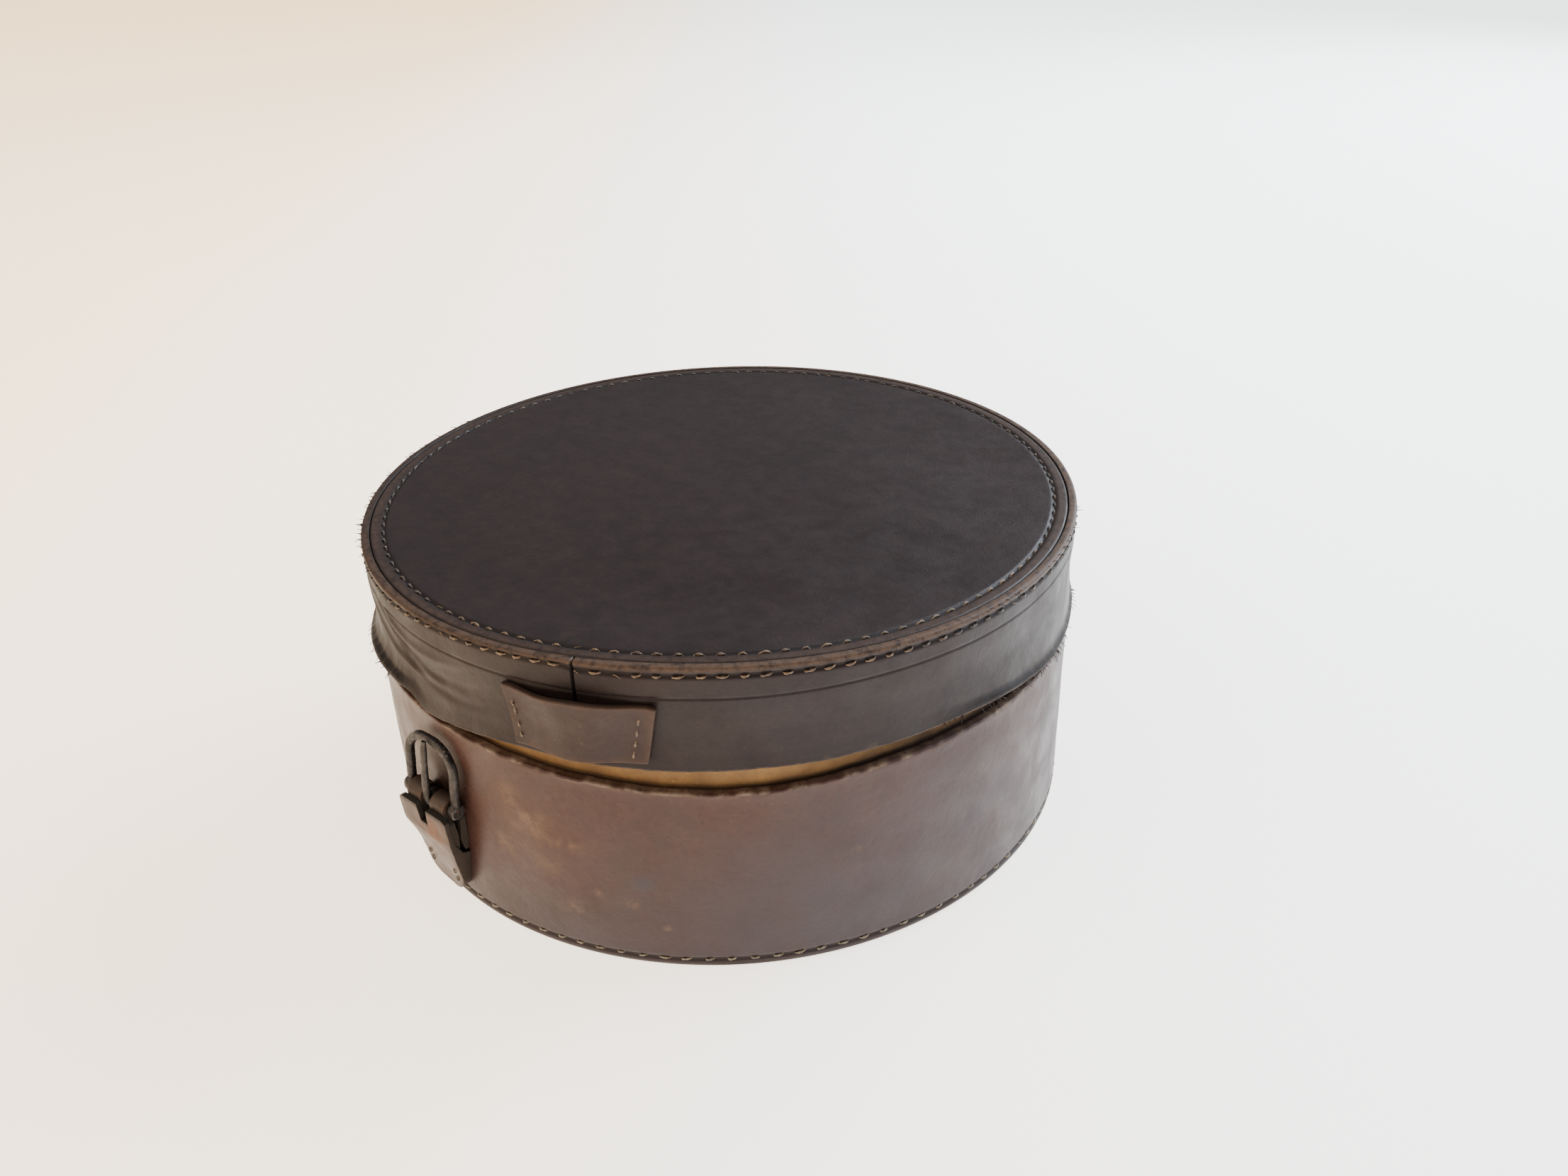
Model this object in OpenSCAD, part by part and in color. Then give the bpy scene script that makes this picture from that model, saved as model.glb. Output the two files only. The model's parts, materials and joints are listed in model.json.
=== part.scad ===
// Round leather hat box with a lift-off lid.
// Each panel is let into the end of its side wall and box-stitched there. The lid slides over an inner collar
// and comes down on the collar's top, so a band of the collar shows under the lid. A buckle hangs in a folded
// leather loop, the chape, whose tails are sewn to the body wall under a cover. A keeper for the strap is sewn over
// the joint of the lid wall. The lid stands turned past the buckle.
// Units are millimetres. The origin is the centre of the underside, +Z is up and the buckle faces -Y.

/* [Body] */
// Outside diameter of the body wall
body_d = 206; // [190:1:230]
// Height of the body wall
body_h = 58.4; // [52:0.2:70]
// Thickness of the body wall leather
wall_t = 2.8; // [2.4:0.1:3.2]
// Thickness of the leather discs that close the body and the lid
panel_t = 2.8; // [2.4:0.1:3.4]
// Thickness of the inner collar
collar_t = 1.8; // [1.4:0.1:2.2]

/* [Lid] */
// Height of the whole box with the lid on
box_h = 90.6; // [86:0.2:100]
// Thickness of the lid wall leather
lid_t = 2.6; // [2.2:0.1:2.8]
// Clearance between the collar and the lid wall, on the radius
lid_fit = 0.4; // [0.3:0.1:0.8]
// Open joint between the lid wall and the body wall, where the collar shows
lid_gap = 3.4; // [0.4:0.1:5]
// How far the lid stands turned past the buckle, in degrees
lid_turn = 29; // [0:1:60]

/* [Lining] */
// Thickness of the lined card inside the collar
lining_t = 0.8; // [0.6:0.1:1.2]
// Thickness of the lined card pads on the base and in the lid
pad_t = 1.2; // [0.8:0.1:2]

/* [Stitching] */
// Distance between one stitch and the next round the lid
lid_pitch = 5; // [4:0.1:7]
// Distance between one stitch and the next round the base
base_pitch = 5.9; // [4:0.1:7]
// Share of the pitch that shows as thread
stitch_share = 0.64; // [0.5:0.02:0.75]
// Distance of the outer stitch row from the end of a wall
seam_drop = 2.5; // [2.2:0.1:3]
// Distance of the inner stitch row from the wall's outside
seam_inset = 6.4; // [5.8:0.1:8]

/* [Keeper] */
// Width of the keeper along the lid wall
keeper_w = 38; // [34:1:44]
// Height of the keeper
keeper_h = 15.5; // [12:0.5:16]
// Height of the gap under the keeper, which its strap goes through
keeper_gap = 2.4; // [2:0.1:3]
// Thickness of the keeper leather
keeper_t = 1.7; // [1.4:0.1:2]

/* [Buckle] */
// Outside width of the buckle frame
buckle_w = 20.4; // [20:0.2:21.2]
// Height of the buckle frame above its bar
buckle_h = 20; // [19:0.5:21]
// Width of the frame's rails
rail_w = 2.7; // [2.5:0.1:2.8]
// Thickness of the frame
frame_t = 2.2; // [2:0.1:2.4]
// Height of the bar above the underside of the box
bar_z = 35.4; // [35:0.2:36]
// Radius of the bar
bar_r = 1.5; // [1.4:0.05:1.6]
// Radial clearance on the bar
bar_fit = 0.08; // [0.05:0.01:0.1]
// Thickness of the chape leather
chape_t = 1.5; // [1.4:0.1:1.6]
// Width of the cover over the chape's tails
cover_w = 18.6; // [18:0.2:20]
// Thickness of the cover leather
cover_t = 1.8; // [1.6:0.1:2]
// How far the buckle and its leather are turned towards +X, in degrees
buckle_turn = 8; // [0:1:8]
// How far they are tilted sideways, top to +X, in degrees
buckle_tilt = 5; // [0:1:6]

/* [Hidden] */
$fn = 128;

// Side walls and collar
wall_r = body_d / 2;
collar_r = wall_r - wall_t;
lining_r = collar_r - collar_t;
lid_in_r = collar_r + lid_fit;
lid_r = lid_in_r + lid_t;
lid_z = body_h + lid_gap;
collar_top = box_h - panel_t - 0.4;
edge = 0.5;
lip_h = 4;
lip_out = 1;
joint_w = 0.4;

// Seams
groove_w = 1.3;
groove_d = 0.8;
thread_gap = 0.05;
crease_drop = 6.4;
crease_w = 0.7;
crease_d = 0.3;
thread_w = 0.9;
thread_t = 0.7;
row_pitch = 3.4;
row_stitch = 2.3;
row_end = 0.9;

// Buckle and chape. Heights are measured from the bar, and distances outwards from it
bore_r = bar_r + bar_fit;
fold_r = bore_r + chape_t;
fold_gap = 0.6;
bar_out = fold_r + fold_gap;
bar_x = 1;
bar_y = -(wall_r + bar_out);
bed = bar_out + 2.6;
frame_lean = 3;
knuckle_r = 2.2;
corner_r = 8.8;
window_w = buckle_w - 2 * rail_w;
chape_w = window_w - 0.6;
tail_w = cover_w - 0.8;
shoulder_z = -(knuckle_r + 0.4);
tail_z = -15;
tail_out = 2 * chape_t - bar_out;
bend_z = -10.6;
bend_out = 1.9;
slot_w = 3.8;
slot_foot = -7;
cover_top = -1.4;
cover_foot = -31.4;
cover_step_z = -21.4;
cover_out = cover_t - bar_out;
cover_top_out = fold_r + cover_t - 0.3;
cover_corner_r = 5.5;
cover_row_x = cover_w / 2 - 2.2;
cover_row_z = -28.2;
pocket_fit = 0.1;
notch_w = 3.4;
notch_foot = -7;
prong_w = 3;
prong_r = 1;
prong_loop_t = 1.1;

// Keeper
keeper_z = lid_z + lip_h + 0.2;
keeper_half = keeper_w / 2;
keeper_pad = 5;
keeper_rise = 4;
keeper_row = keeper_half - keeper_pad / 2;
keeper_steps = 24;
keeper_r = lid_r + keeper_t;

// A ring of revolution with a notch list: each notch is [height, width, depth] on the outside
module ring(r_in, r_out, z_low, z_high, notches = []) {
    difference() {
        rotate_extrude()
            polygon([[r_in, z_low], [r_out - edge, z_low], [r_out, z_low + edge],
                     [r_out, z_high - edge], [r_out - edge, z_high], [r_in, z_high]]);
        for (n = notches)
            rotate_extrude()
                translate([r_out - n[2], n[0] - n[1] / 2])
                    square([n[2] + 1, n[1]]);
    }
}

// A disc with a stitch groove on one face
module grooved_disc(r, z_low, z_high, groove_r, groove_z) {
    difference() {
        translate([0, 0, z_low])
            cylinder(r = r, h = z_high - z_low);
        rotate_extrude()
            translate([groove_r - groove_w / 2, groove_z])
                square([groove_w, groove_d]);
    }
}

// The slit where the two ends of a wall meet, at the -Y side
module wall_joint(r, z_low, z_high) {
    translate([-joint_w / 2, -r - 5, z_low - 1])
        cube([joint_w, 10, z_high - z_low + 2]);
}

// A round seam: separate stitches on a circle, flat on a wall (upright) or on a disc
module round_seam(r, z, pitch, upright) {
    count = round(2 * PI * r / pitch);
    length = 2 * PI * r / count * stitch_share;
    for (i = [0 : count - 1])
        rotate([0, 0, (i + 0.5) * 360 / count])
            translate([0, -r, z])
                cube([length, upright ? thread_t : thread_w, upright ? thread_w : thread_t], center = true);
}

// A short upright row of stitches on a face that looks along -Y at y, from z_low to z_high
module upright_row(y, z_low, z_high) {
    count = floor((z_high - z_low) / row_pitch);
    for (i = [0 : count - 1])
        translate([0, y - thread_gap - thread_t / 2, z_low + (i + 0.5) * (z_high - z_low) / count])
            cube([thread_w, thread_t, row_stitch], center = true);
}

// Places a piece drawn round the bar: the bar's middle is at the origin, and -Y is outwards
module at_bar() {
    translate([bar_x, bar_y, bar_z])
        rotate([0, buckle_tilt, buckle_turn])
            children();
}

// The same, leaning back on the wall as the frame and the prong do
module at_lean() {
    at_bar()
        rotate([-frame_lean, 0, 0])
            children();
}

// The frame's outline above the bar: a rectangle with round top corners
module frame_outline(inset) {
    w = buckle_w / 2 - inset;
    r = corner_r - inset;
    c = buckle_h - corner_r;
    translate([-w, 0])
        square([2 * w, c]);
    translate([-(w - r), 0])
        square([2 * (w - r), buckle_h - inset]);
    for (side = [-1, 1])
        translate([side * (w - r), c])
            circle(r = r);
}

// Height of the keeper over the lid wall, at a distance x from its middle
function keeper_lift(x) =
    let (t = min(1, max(0, (keeper_half - keeper_pad - abs(x)) / keeper_rise)))
    keeper_gap * t * t * (3 - 2 * t);
function on_lid(x, r) = let (a = x / lid_r * 180 / PI) [r * sin(a), -r * cos(a)];
keeper_xs = [for (i = [0 : keeper_steps]) -keeper_half + i * keeper_w / keeper_steps];

module body_wall() {
    color("saddlebrown")
        difference() {
            ring(collar_r, wall_r, 0, body_h, [[seam_drop, groove_w, groove_d]]);
            rotate([0, 0, 180])
                wall_joint(wall_r, 0, body_h);
        }
}

module base_panel() {
    color("saddlebrown")
        grooved_disc(collar_r, 0, panel_t, wall_r - seam_inset, 0);
}

module body_collar() {
    color("goldenrod")
        ring(lining_r, collar_r, panel_t, collar_top);
}

module collar_lining() {
    color("wheat")
        ring(lining_r - lining_t, lining_r, panel_t, collar_top - 1);
}

module base_pad() {
    color("wheat")
        translate([0, 0, panel_t])
            cylinder(r = lining_r - lining_t - 0.2, h = pad_t);
}

module base_seam_outer_thread() {
    color("tan")
        round_seam(wall_r - groove_d + thread_gap + thread_t / 2, seam_drop, base_pitch, true);
}

module base_seam_inner_thread() {
    color("tan")
        round_seam(wall_r - seam_inset, groove_d - thread_gap - thread_t / 2, base_pitch, false);
}

module chape() {
    color("sienna")
        difference() {
            at_bar()
                difference() {
                    union() {
                        side_extrude(chape_w)
                            chape_profile(0);
                        side_extrude(tail_w)
                            intersection() {
                                chape_profile(0);
                                translate([tail_z, -2 * bed])
                                    square([shoulder_z - tail_z, 4 * bed]);
                            }
                    }
                    rotate([0, 90, 0])
                        cylinder(r = bore_r, h = 2 * chape_w, center = true);
                    translate([-slot_w / 2, -2 * bed, slot_foot])
                        cube([slot_w, 4 * bed, bar_z]);
                }
            cylinder(r = wall_r, h = box_h);
        }
}

// Side view of the folded loop and its two tails, as [height, y], grown outwards by fit
module chape_profile(fit) {
    polygon([[tail_z, bed], [tail_z, -tail_out - fit], [bend_z, -bend_out - fit], [0, -fold_r - fit], [0, bed]]);
    circle(r = fold_r + fit);
}

// Extrudes an outline drawn as [height, y] along X, centred on the middle plane
module side_extrude(w) {
    translate([w / 2, 0, 0])
        rotate([0, -90, 0])
            linear_extrude(height = w)
                children();
}

module chape_cover() {
    color("sienna")
        difference() {
            at_bar()
                difference() {
                    intersection() {
                        side_extrude(cover_w)
                            cover_profile();
                        cover_shape();
                    }
                    side_extrude(2 * cover_w)
                        chape_profile(pocket_fit);
                    translate([-notch_w / 2, -2 * bed, notch_foot])
                        cube([notch_w, 4 * bed, bar_z]);
                }
            cylinder(r = wall_r, h = box_h);
        }
}

// Side view of the cover's outer face, as [height, y], with everything behind it
module cover_profile() {
    polygon([[cover_foot, bed], [cover_foot, -cover_out], [cover_step_z, -cover_out],
             [tail_z, -tail_out - cover_t], [bend_z, -bend_out - cover_t],
             [cover_top, -cover_top_out], [cover_top, bed]]);
}

// Front view of the cover, extruded through it: square above, with round corners at its foot
module cover_shape() {
    corner_x = cover_w / 2 - cover_corner_r;
    corner_z = cover_foot + cover_corner_r;
    rotate([90, 0, 0])
        linear_extrude(height = 4 * bed, center = true) {
            translate([-cover_w / 2, corner_z])
                square([cover_w, cover_top - corner_z]);
            translate([-corner_x, cover_foot])
                square([2 * corner_x, cover_corner_r]);
            for (side = [-1, 1])
                translate([side * corner_x, corner_z])
                    circle(r = cover_corner_r);
        }
}

module cover_left_thread() {
    color("tan")
        cover_thread(-1);
}

module cover_right_thread() {
    color("tan")
        cover_thread(1);
}

// One of the two rows that sew the cover's foot to the body wall
module cover_thread(side) {
    at_bar()
        translate([side * cover_row_x, 0, 0])
            upright_row(-cover_out, cover_row_z, cover_step_z);
}

module buckle_frame() {
    color("dimgray")
        at_lean() {
            rotate([90, 0, 0])
                linear_extrude(height = frame_t, center = true)
                    difference() {
                        frame_outline(0);
                        frame_outline(rail_w);
                    }
            for (side = [-1, 1])
                translate([side * (buckle_w - rail_w) / 2, 0, 0])
                    rotate([0, 90, 0])
                        cylinder(r = knuckle_r, h = rail_w, center = true);
            rotate([0, 90, 0])
                cylinder(r = bar_r, h = buckle_w - rail_w, center = true);
        }
}

module buckle_prong() {
    color("gray")
        at_lean()
            difference() {
                union() {
                    rotate([0, 90, 0])
                        cylinder(r = bore_r + prong_loop_t, h = prong_w, center = true);
                    prong_rod();
                }
                rotate([0, 90, 0])
                    cylinder(r = bore_r, h = prong_w + 2, center = true);
            }
}

// The prong's rod: it leaves its loop over the bar and ends on the front of the frame's top rail
module prong_rod() {
    root = [-(bore_r + 0.3), 0];
    tip = [-(frame_t / 2 + prong_r + 0.05), buckle_h - 0.6];
    translate([0, root[0], root[1]])
        rotate([atan2(root[0] - tip[0], tip[1]), 0, 0])
            cylinder(r = prong_r, h = norm(tip - root));
}

module lid_wall() {
    color("brown")
        rotate([0, 0, lid_turn])
            difference() {
                union() {
                    ring(lid_in_r, lid_r, lid_z, box_h,
                         [[box_h - seam_drop, groove_w, groove_d], [box_h - crease_drop, crease_w, crease_d]]);
                    rotate_extrude()
                        polygon([[lid_r - edge, lid_z], [lid_r + lip_out - edge, lid_z],
                                 [lid_r + lip_out, lid_z + edge], [lid_r, lid_z + lip_h], [lid_r - edge, lid_z + lip_h]]);
                }
                wall_joint(lid_r, lid_z, box_h);
            }
}

module lid_panel() {
    color("brown")
        grooved_disc(lid_in_r, box_h - panel_t, box_h, lid_r - seam_inset, box_h - groove_d);
}

module lid_pad() {
    color("wheat")
        translate([0, 0, box_h - panel_t - pad_t])
            cylinder(r = lining_r - 0.6, h = pad_t);
}

module lid_seam_outer_thread() {
    color("tan")
        rotate([0, 0, lid_turn])
            round_seam(lid_r - groove_d + thread_gap + thread_t / 2, box_h - seam_drop, lid_pitch, true);
}

module lid_seam_inner_thread() {
    color("tan")
        rotate([0, 0, lid_turn])
            round_seam(lid_r - seam_inset, box_h - groove_d + thread_gap + thread_t / 2, lid_pitch, false);
}

module keeper() {
    color("brown")
        rotate([0, 0, lid_turn])
            difference() {
                translate([0, 0, keeper_z])
                    linear_extrude(height = keeper_h)
                        polygon(concat(
                            [for (x = keeper_xs) on_lid(x, keeper_r + keeper_lift(x))],
                            [for (i = [keeper_steps : -1 : 0])
                                let (x = keeper_xs[i])
                                on_lid(x, lid_r + (keeper_lift(x) > 0 ? keeper_lift(x) : -0.4))]));
                cylinder(r = lid_r, h = box_h);
            }
}

module keeper_left_thread() {
    color("tan")
        keeper_thread(-1);
}

module keeper_right_thread() {
    color("tan")
        keeper_thread(1);
}

// One of the two rows that hold the keeper's ends to the lid wall
module keeper_thread(side) {
    rotate([0, 0, lid_turn + side * keeper_row / lid_r * 180 / PI])
        upright_row(-keeper_r, keeper_z + row_end, keeper_z + keeper_h - row_end);
}

body_wall();
base_panel();
body_collar();
collar_lining();
base_pad();
base_seam_outer_thread();
base_seam_inner_thread();
chape();
chape_cover();
cover_left_thread();
cover_right_thread();
buckle_frame();
buckle_prong();
lid_wall();
lid_panel();
lid_pad();
lid_seam_outer_thread();
lid_seam_inner_thread();
keeper();
keeper_left_thread();
keeper_right_thread();
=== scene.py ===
"""The looks of a round leather hat box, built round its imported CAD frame.

Inside the builders, lengths are millimetres and angles are degrees round the box's axis: 0 at the buckle
(-Y), growing towards +X. add_piece() turns the lengths into metres.
"""

import json
import math
import random

import bmesh
import bpy
import numpy as np
from mathutils import Matrix, Quaternion, Vector, noise


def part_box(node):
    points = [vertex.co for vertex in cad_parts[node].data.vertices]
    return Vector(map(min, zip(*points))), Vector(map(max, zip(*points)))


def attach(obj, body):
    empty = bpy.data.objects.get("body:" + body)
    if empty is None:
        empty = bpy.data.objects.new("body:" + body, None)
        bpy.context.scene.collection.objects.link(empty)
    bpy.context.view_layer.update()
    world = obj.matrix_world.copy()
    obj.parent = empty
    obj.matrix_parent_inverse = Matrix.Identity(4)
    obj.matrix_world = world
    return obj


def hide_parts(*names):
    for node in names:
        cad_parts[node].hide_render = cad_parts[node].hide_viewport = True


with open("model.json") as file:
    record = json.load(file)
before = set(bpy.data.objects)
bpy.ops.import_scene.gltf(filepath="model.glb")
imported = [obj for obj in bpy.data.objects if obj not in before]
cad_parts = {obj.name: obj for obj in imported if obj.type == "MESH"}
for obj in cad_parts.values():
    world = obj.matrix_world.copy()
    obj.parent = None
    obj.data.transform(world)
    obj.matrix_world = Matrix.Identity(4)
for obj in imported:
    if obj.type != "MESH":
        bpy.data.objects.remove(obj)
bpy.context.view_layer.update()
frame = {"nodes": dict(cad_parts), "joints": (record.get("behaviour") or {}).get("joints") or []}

MM = 0.001

# ---------------------------------------------------------------- sizes, from the frame


def node_points(node):
    return np.array([v.co for v in frame["nodes"][node].data.vertices]) / MM


def radii(node):
    points = node_points(node)
    return np.hypot(points[:, 0], points[:, 1])


def low_high(node):
    return [corner_at / MM for corner_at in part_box(node)]


BODY_R = float(radii("body_wall").max())
LEDGE_Z = low_high("body_wall")[1].z
PANEL_T = low_high("base_panel")[1].z
COLLAR_R = float(radii("body_collar").max())
COLLAR_IN = float(radii("body_collar").min())
COLLAR_TOP = low_high("body_collar")[1].z
LINING_T = COLLAR_IN - float(radii("collar_lining").min())
LINING_TOP = low_high("collar_lining")[1].z
PAD_R = float(radii("base_pad").max())
PAD_TOP = low_high("base_pad")[1].z
LID_Z = low_high("lid_wall")[0].z
BOX_H = low_high("lid_wall")[1].z
# How far the lid wall's lower edge stands out
LIP_OUT = 1.0
LID_R = float(radii("lid_wall").max()) - LIP_OUT
LID_IN = float(radii("lid_wall").min())
LID_PAD_R = float(radii("lid_pad").max())
LID_PAD_Z, LID_PAD_TOP = (end.z for end in low_high("lid_pad"))
KEEPER_LOW, KEEPER_HIGH = low_high("keeper")
KEEPER_MID = KEEPER_LOW + (KEEPER_HIGH - KEEPER_LOW) / 2
LID_TURN = math.degrees(math.atan2(KEEPER_MID.x, -KEEPER_MID.y))
SWING = next(j for j in frame["joints"] if j["name"] == "buckle_swing")
BAR = Vector(SWING["pos_m"]) / MM

WALL_JOINT = 180
# How far the two edges at the joint stand off their CAD heights, and how much higher they are at the front
LEDGE_OFF = -0.4
LEDGE_UP = 2.2
LID_EDGE_OFF = -2.9
LID_EDGE_UP = 1.8
# The dip in the body's top edge: its middle, its spread before and after it, and its depth
DIP_AT = 52
DIP_SPREAD = (34, 24)
DIP_DEPTH = 3.9
# The stretch where the lid's lower edge stands off the body, and by how much more
GAP_FROM = 20
GAP_TO = 84
GAP_UP = 2.3
# The lid's lower edge beside the buckle: pushed out round CURL_AT, and curled up from CURL_FROM to CURL_TO
CURL_AT = -14
CURL_SPREAD = 14
CURL_OUT = 1.5
CURL_FROM = -16
CURL_TO = -3.5
CURL_UP = 3.4
# The risen front of the lid's rim
RISE_AT = 41
RISE_SPREAD = 27
RISE = 1.7

# ---------------------------------------------------------------- small maths


def smooth(low, high, x):
    """0 below low, 1 above high, and a smooth rise between."""
    t = min(1.0, max(0.0, (x - low) / (high - low)))
    return t * t * (3 - 2 * t)


def band(x, rise_from, rise_to, fall_from, fall_to):
    """1 in a band of x, with a smooth rise before it and a smooth fall after it, 0 elsewhere."""
    return smooth(rise_from, rise_to, x) * (1 - smooth(fall_from, fall_to, x))


def bump_at(x, middle, spread):
    return math.exp(-(((x - middle) / spread) ** 2))


def turn_between(a, b):
    """The angle from b to a, from -180 to 180."""
    return (a - b + 180) % 360 - 180


def hump(angle, middle, spread):
    """A bump round the box whose top is at the angle middle."""
    return bump_at(turn_between(angle, middle), 0, spread)


def polar(r, angle, z):
    a = math.radians(angle)
    return Vector((r * math.sin(a), -r * math.cos(a), z))


def grain(point, size, seed=0):
    """Smooth noise from -1 to 1 whose lumps are about size millimetres across."""
    return noise.noise(Vector(point) / size + Vector((seed * 7.1, seed * 3.7, seed * 5.3)))


def ring_noise(angle, z, size, seed=0):
    return grain(polar(BODY_R, angle, z), size, seed)


# ---------------------------------------------------------------- mesh building


def add_piece(name, verts, faces, body, slot, nodes=(), material=None, marks=None, smooth_angle=40):
    """Makes one piece of the object. marks are values at its points for its material."""
    mesh = bpy.data.meshes.new(name)
    mesh.from_pydata([Vector(v) * MM for v in verts], [], faces)
    for key, values in (marks or {}).items():
        attribute = mesh.attributes.new(key, "FLOAT", "POINT")
        attribute.data.foreach_set("value", np.array(values, np.float32))
    work = bmesh.new()
    work.from_mesh(mesh)
    bmesh.ops.recalc_face_normals(work, faces=work.faces)
    work.to_mesh(mesh)
    work.free()
    mesh.polygons.foreach_set("use_smooth", [True] * len(mesh.polygons))
    mesh.set_sharp_from_angle(angle=math.radians(smooth_angle))
    piece = bpy.data.objects.new(name, mesh)
    bpy.context.scene.collection.objects.link(piece)
    if material:
        mesh.materials.append(material)
    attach(piece, body)
    if nodes:
        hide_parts(*nodes)
    return piece


def add_modifier(piece, kind, **settings):
    modifier = piece.modifiers.new(kind.title(), kind)
    for key, value in settings.items():
        setattr(modifier, key, value)


def grid_faces(rows, columns, around_rows=False, around_columns=False, start=0):
    """Quads of a grid of points kept row by row."""
    faces = []
    for i in range(rows if around_rows else rows - 1):
        for j in range(columns if around_columns else columns - 1):
            a, b = i * columns, (i + 1) % rows * columns
            k = (j + 1) % columns
            faces.append((start + a + j, start + b + j, start + b + k, start + a + k))
    return faces


SHARP_ANGLE = 50


def headings(path):
    """The direction of a path at each of its points."""
    last = len(path) - 1
    return [(path[min(i + 1, last)] - path[max(i - 1, 0)]).normalized() for i in range(last + 1)]


def rod_faces(count, sides, start=0):
    """Faces of a section with this many sides that was swept to count places, its ends closed."""
    last = start + (count - 1) * sides
    ends = [tuple(range(start, start + sides)), tuple(range(last + sides - 1, last - 1, -1))]
    return grid_faces(count, sides, around_columns=True, start=start) + ends


def add_slab(name, layers, faces, body, slot, nodes, material, grime_and_shade, worn, bevel, segments):
    """A sheet with a thickness: faces join each layer's points, and its edges are closed and bevelled."""
    size = len(layers[0])
    uses = {}
    for face in faces:
        for a, b in zip(face, face[1:] + face[:1]):
            key = (min(a, b), max(a, b))
            uses[key] = uses.get(key, 0) + 1
    rims = [(a, b, b + size, a + size) for (a, b), times in uses.items() if times == 1]
    both = faces + [tuple(k + size for k in face) for face in faces] + rims
    marks = {"grime_and_shade": grime_and_shade, "worn": worn}
    piece = add_piece(name, layers[0] + layers[1], both, body, slot, nodes, material, marks)
    add_modifier(
        piece, "BEVEL", width=bevel * MM, segments=segments, limit_method="ANGLE",
        angle_limit=math.radians(SHARP_ANGLE),
    )


# A butt joint: degrees from its middle to the columns of points beside it, and half its slit
JOINT_SPREAD = (0.03, 0.1, 0.17, 0.3, 0.5)
JOINT_HALF = 0.14


def ring_columns(step, fine=(), joint=None):
    """Angles round a ring: every step degrees, finer in the stretches of fine, closest at a butt joint."""
    angles = set(np.round(np.arange(0, 360, step), 4))
    for low, high, fine_step in fine:
        angles |= {round(a % 360, 4) for a in np.arange(low, high, fine_step)}
    if joint is not None:
        angles = {a for a in angles if abs(turn_between(a, joint)) > JOINT_SPREAD[-1] * 1.6}
        angles |= {round((joint + side * off) % 360, 4) for off in JOINT_SPREAD for side in (-1, 1)}
    return sorted(float(a) for a in angles)


def joint_slit(angle, joint):
    """1 in the slit of a butt joint, 0 away from it."""
    return 1 - smooth(0.4 * JOINT_HALF, 1.6 * JOINT_HALF, abs(turn_between(angle, joint)))


def add_ring(name, columns, section, *piece, tints=None):
    """A closed ring of leather. section(angle) gives its outline there as (r, z, grime_and_shade, worn)
    points.

    tints are further marks of the material, each a function of (angle, z).
    """
    rows = [section(a) for a in columns]
    verts = [polar(r, a, z) for a, row in zip(columns, rows) for r, z, _, _ in row]
    marks = {
        "grime_and_shade": [p[2] for row in rows for p in row],
        "worn": [p[3] for row in rows for p in row],
    }
    for key, tint in (tints or {}).items():
        marks[key] = [tint(a, p[1]) for a, row in zip(columns, rows) for p in row]
    faces = grid_faces(len(rows), len(rows[0]), around_rows=True, around_columns=True)
    add_piece(name, verts, faces, *piece, marks=marks)


def add_disc(name, r_max, levels, height, thickness, *piece):
    """A round panel. levels are its radii from the middle out.

    height(r, angle) gives (z, grime_and_shade, worn) on its face.
    """
    columns = np.arange(0, 360, 0.9)
    verts, grime_and_shade, worn = [], [], []

    def put(r, angle, z, g, w):
        verts.append(polar(r, angle, z))
        grime_and_shade.append(g)
        worn.append(w)

    rings = [(r, 0) for r in levels] + [(r_max, share) for share in (0.2, 0.4, 1.0)]
    for r, share in rings:
        for a in columns:
            z, g, w = height(r, a)
            put(r, a, z - thickness * share, g, w)
    count = len(columns)
    faces = grid_faces(len(rings), count, around_columns=True)
    for centre_of in (0, len(rings) - 1):
        start = centre_of * count
        z = sum(verts[start + j].z for j in range(count)) / count
        put(0, 0, z, grime_and_shade[start], worn[start])
        middle = len(verts) - 1
        faces += [(middle, start + j, start + (j + 1) % count) for j in range(count)]
    add_piece(name, verts, faces, *piece, marks={"grime_and_shade": grime_and_shade, "worn": worn})


# ---------------------------------------------------------------- materials


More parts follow.
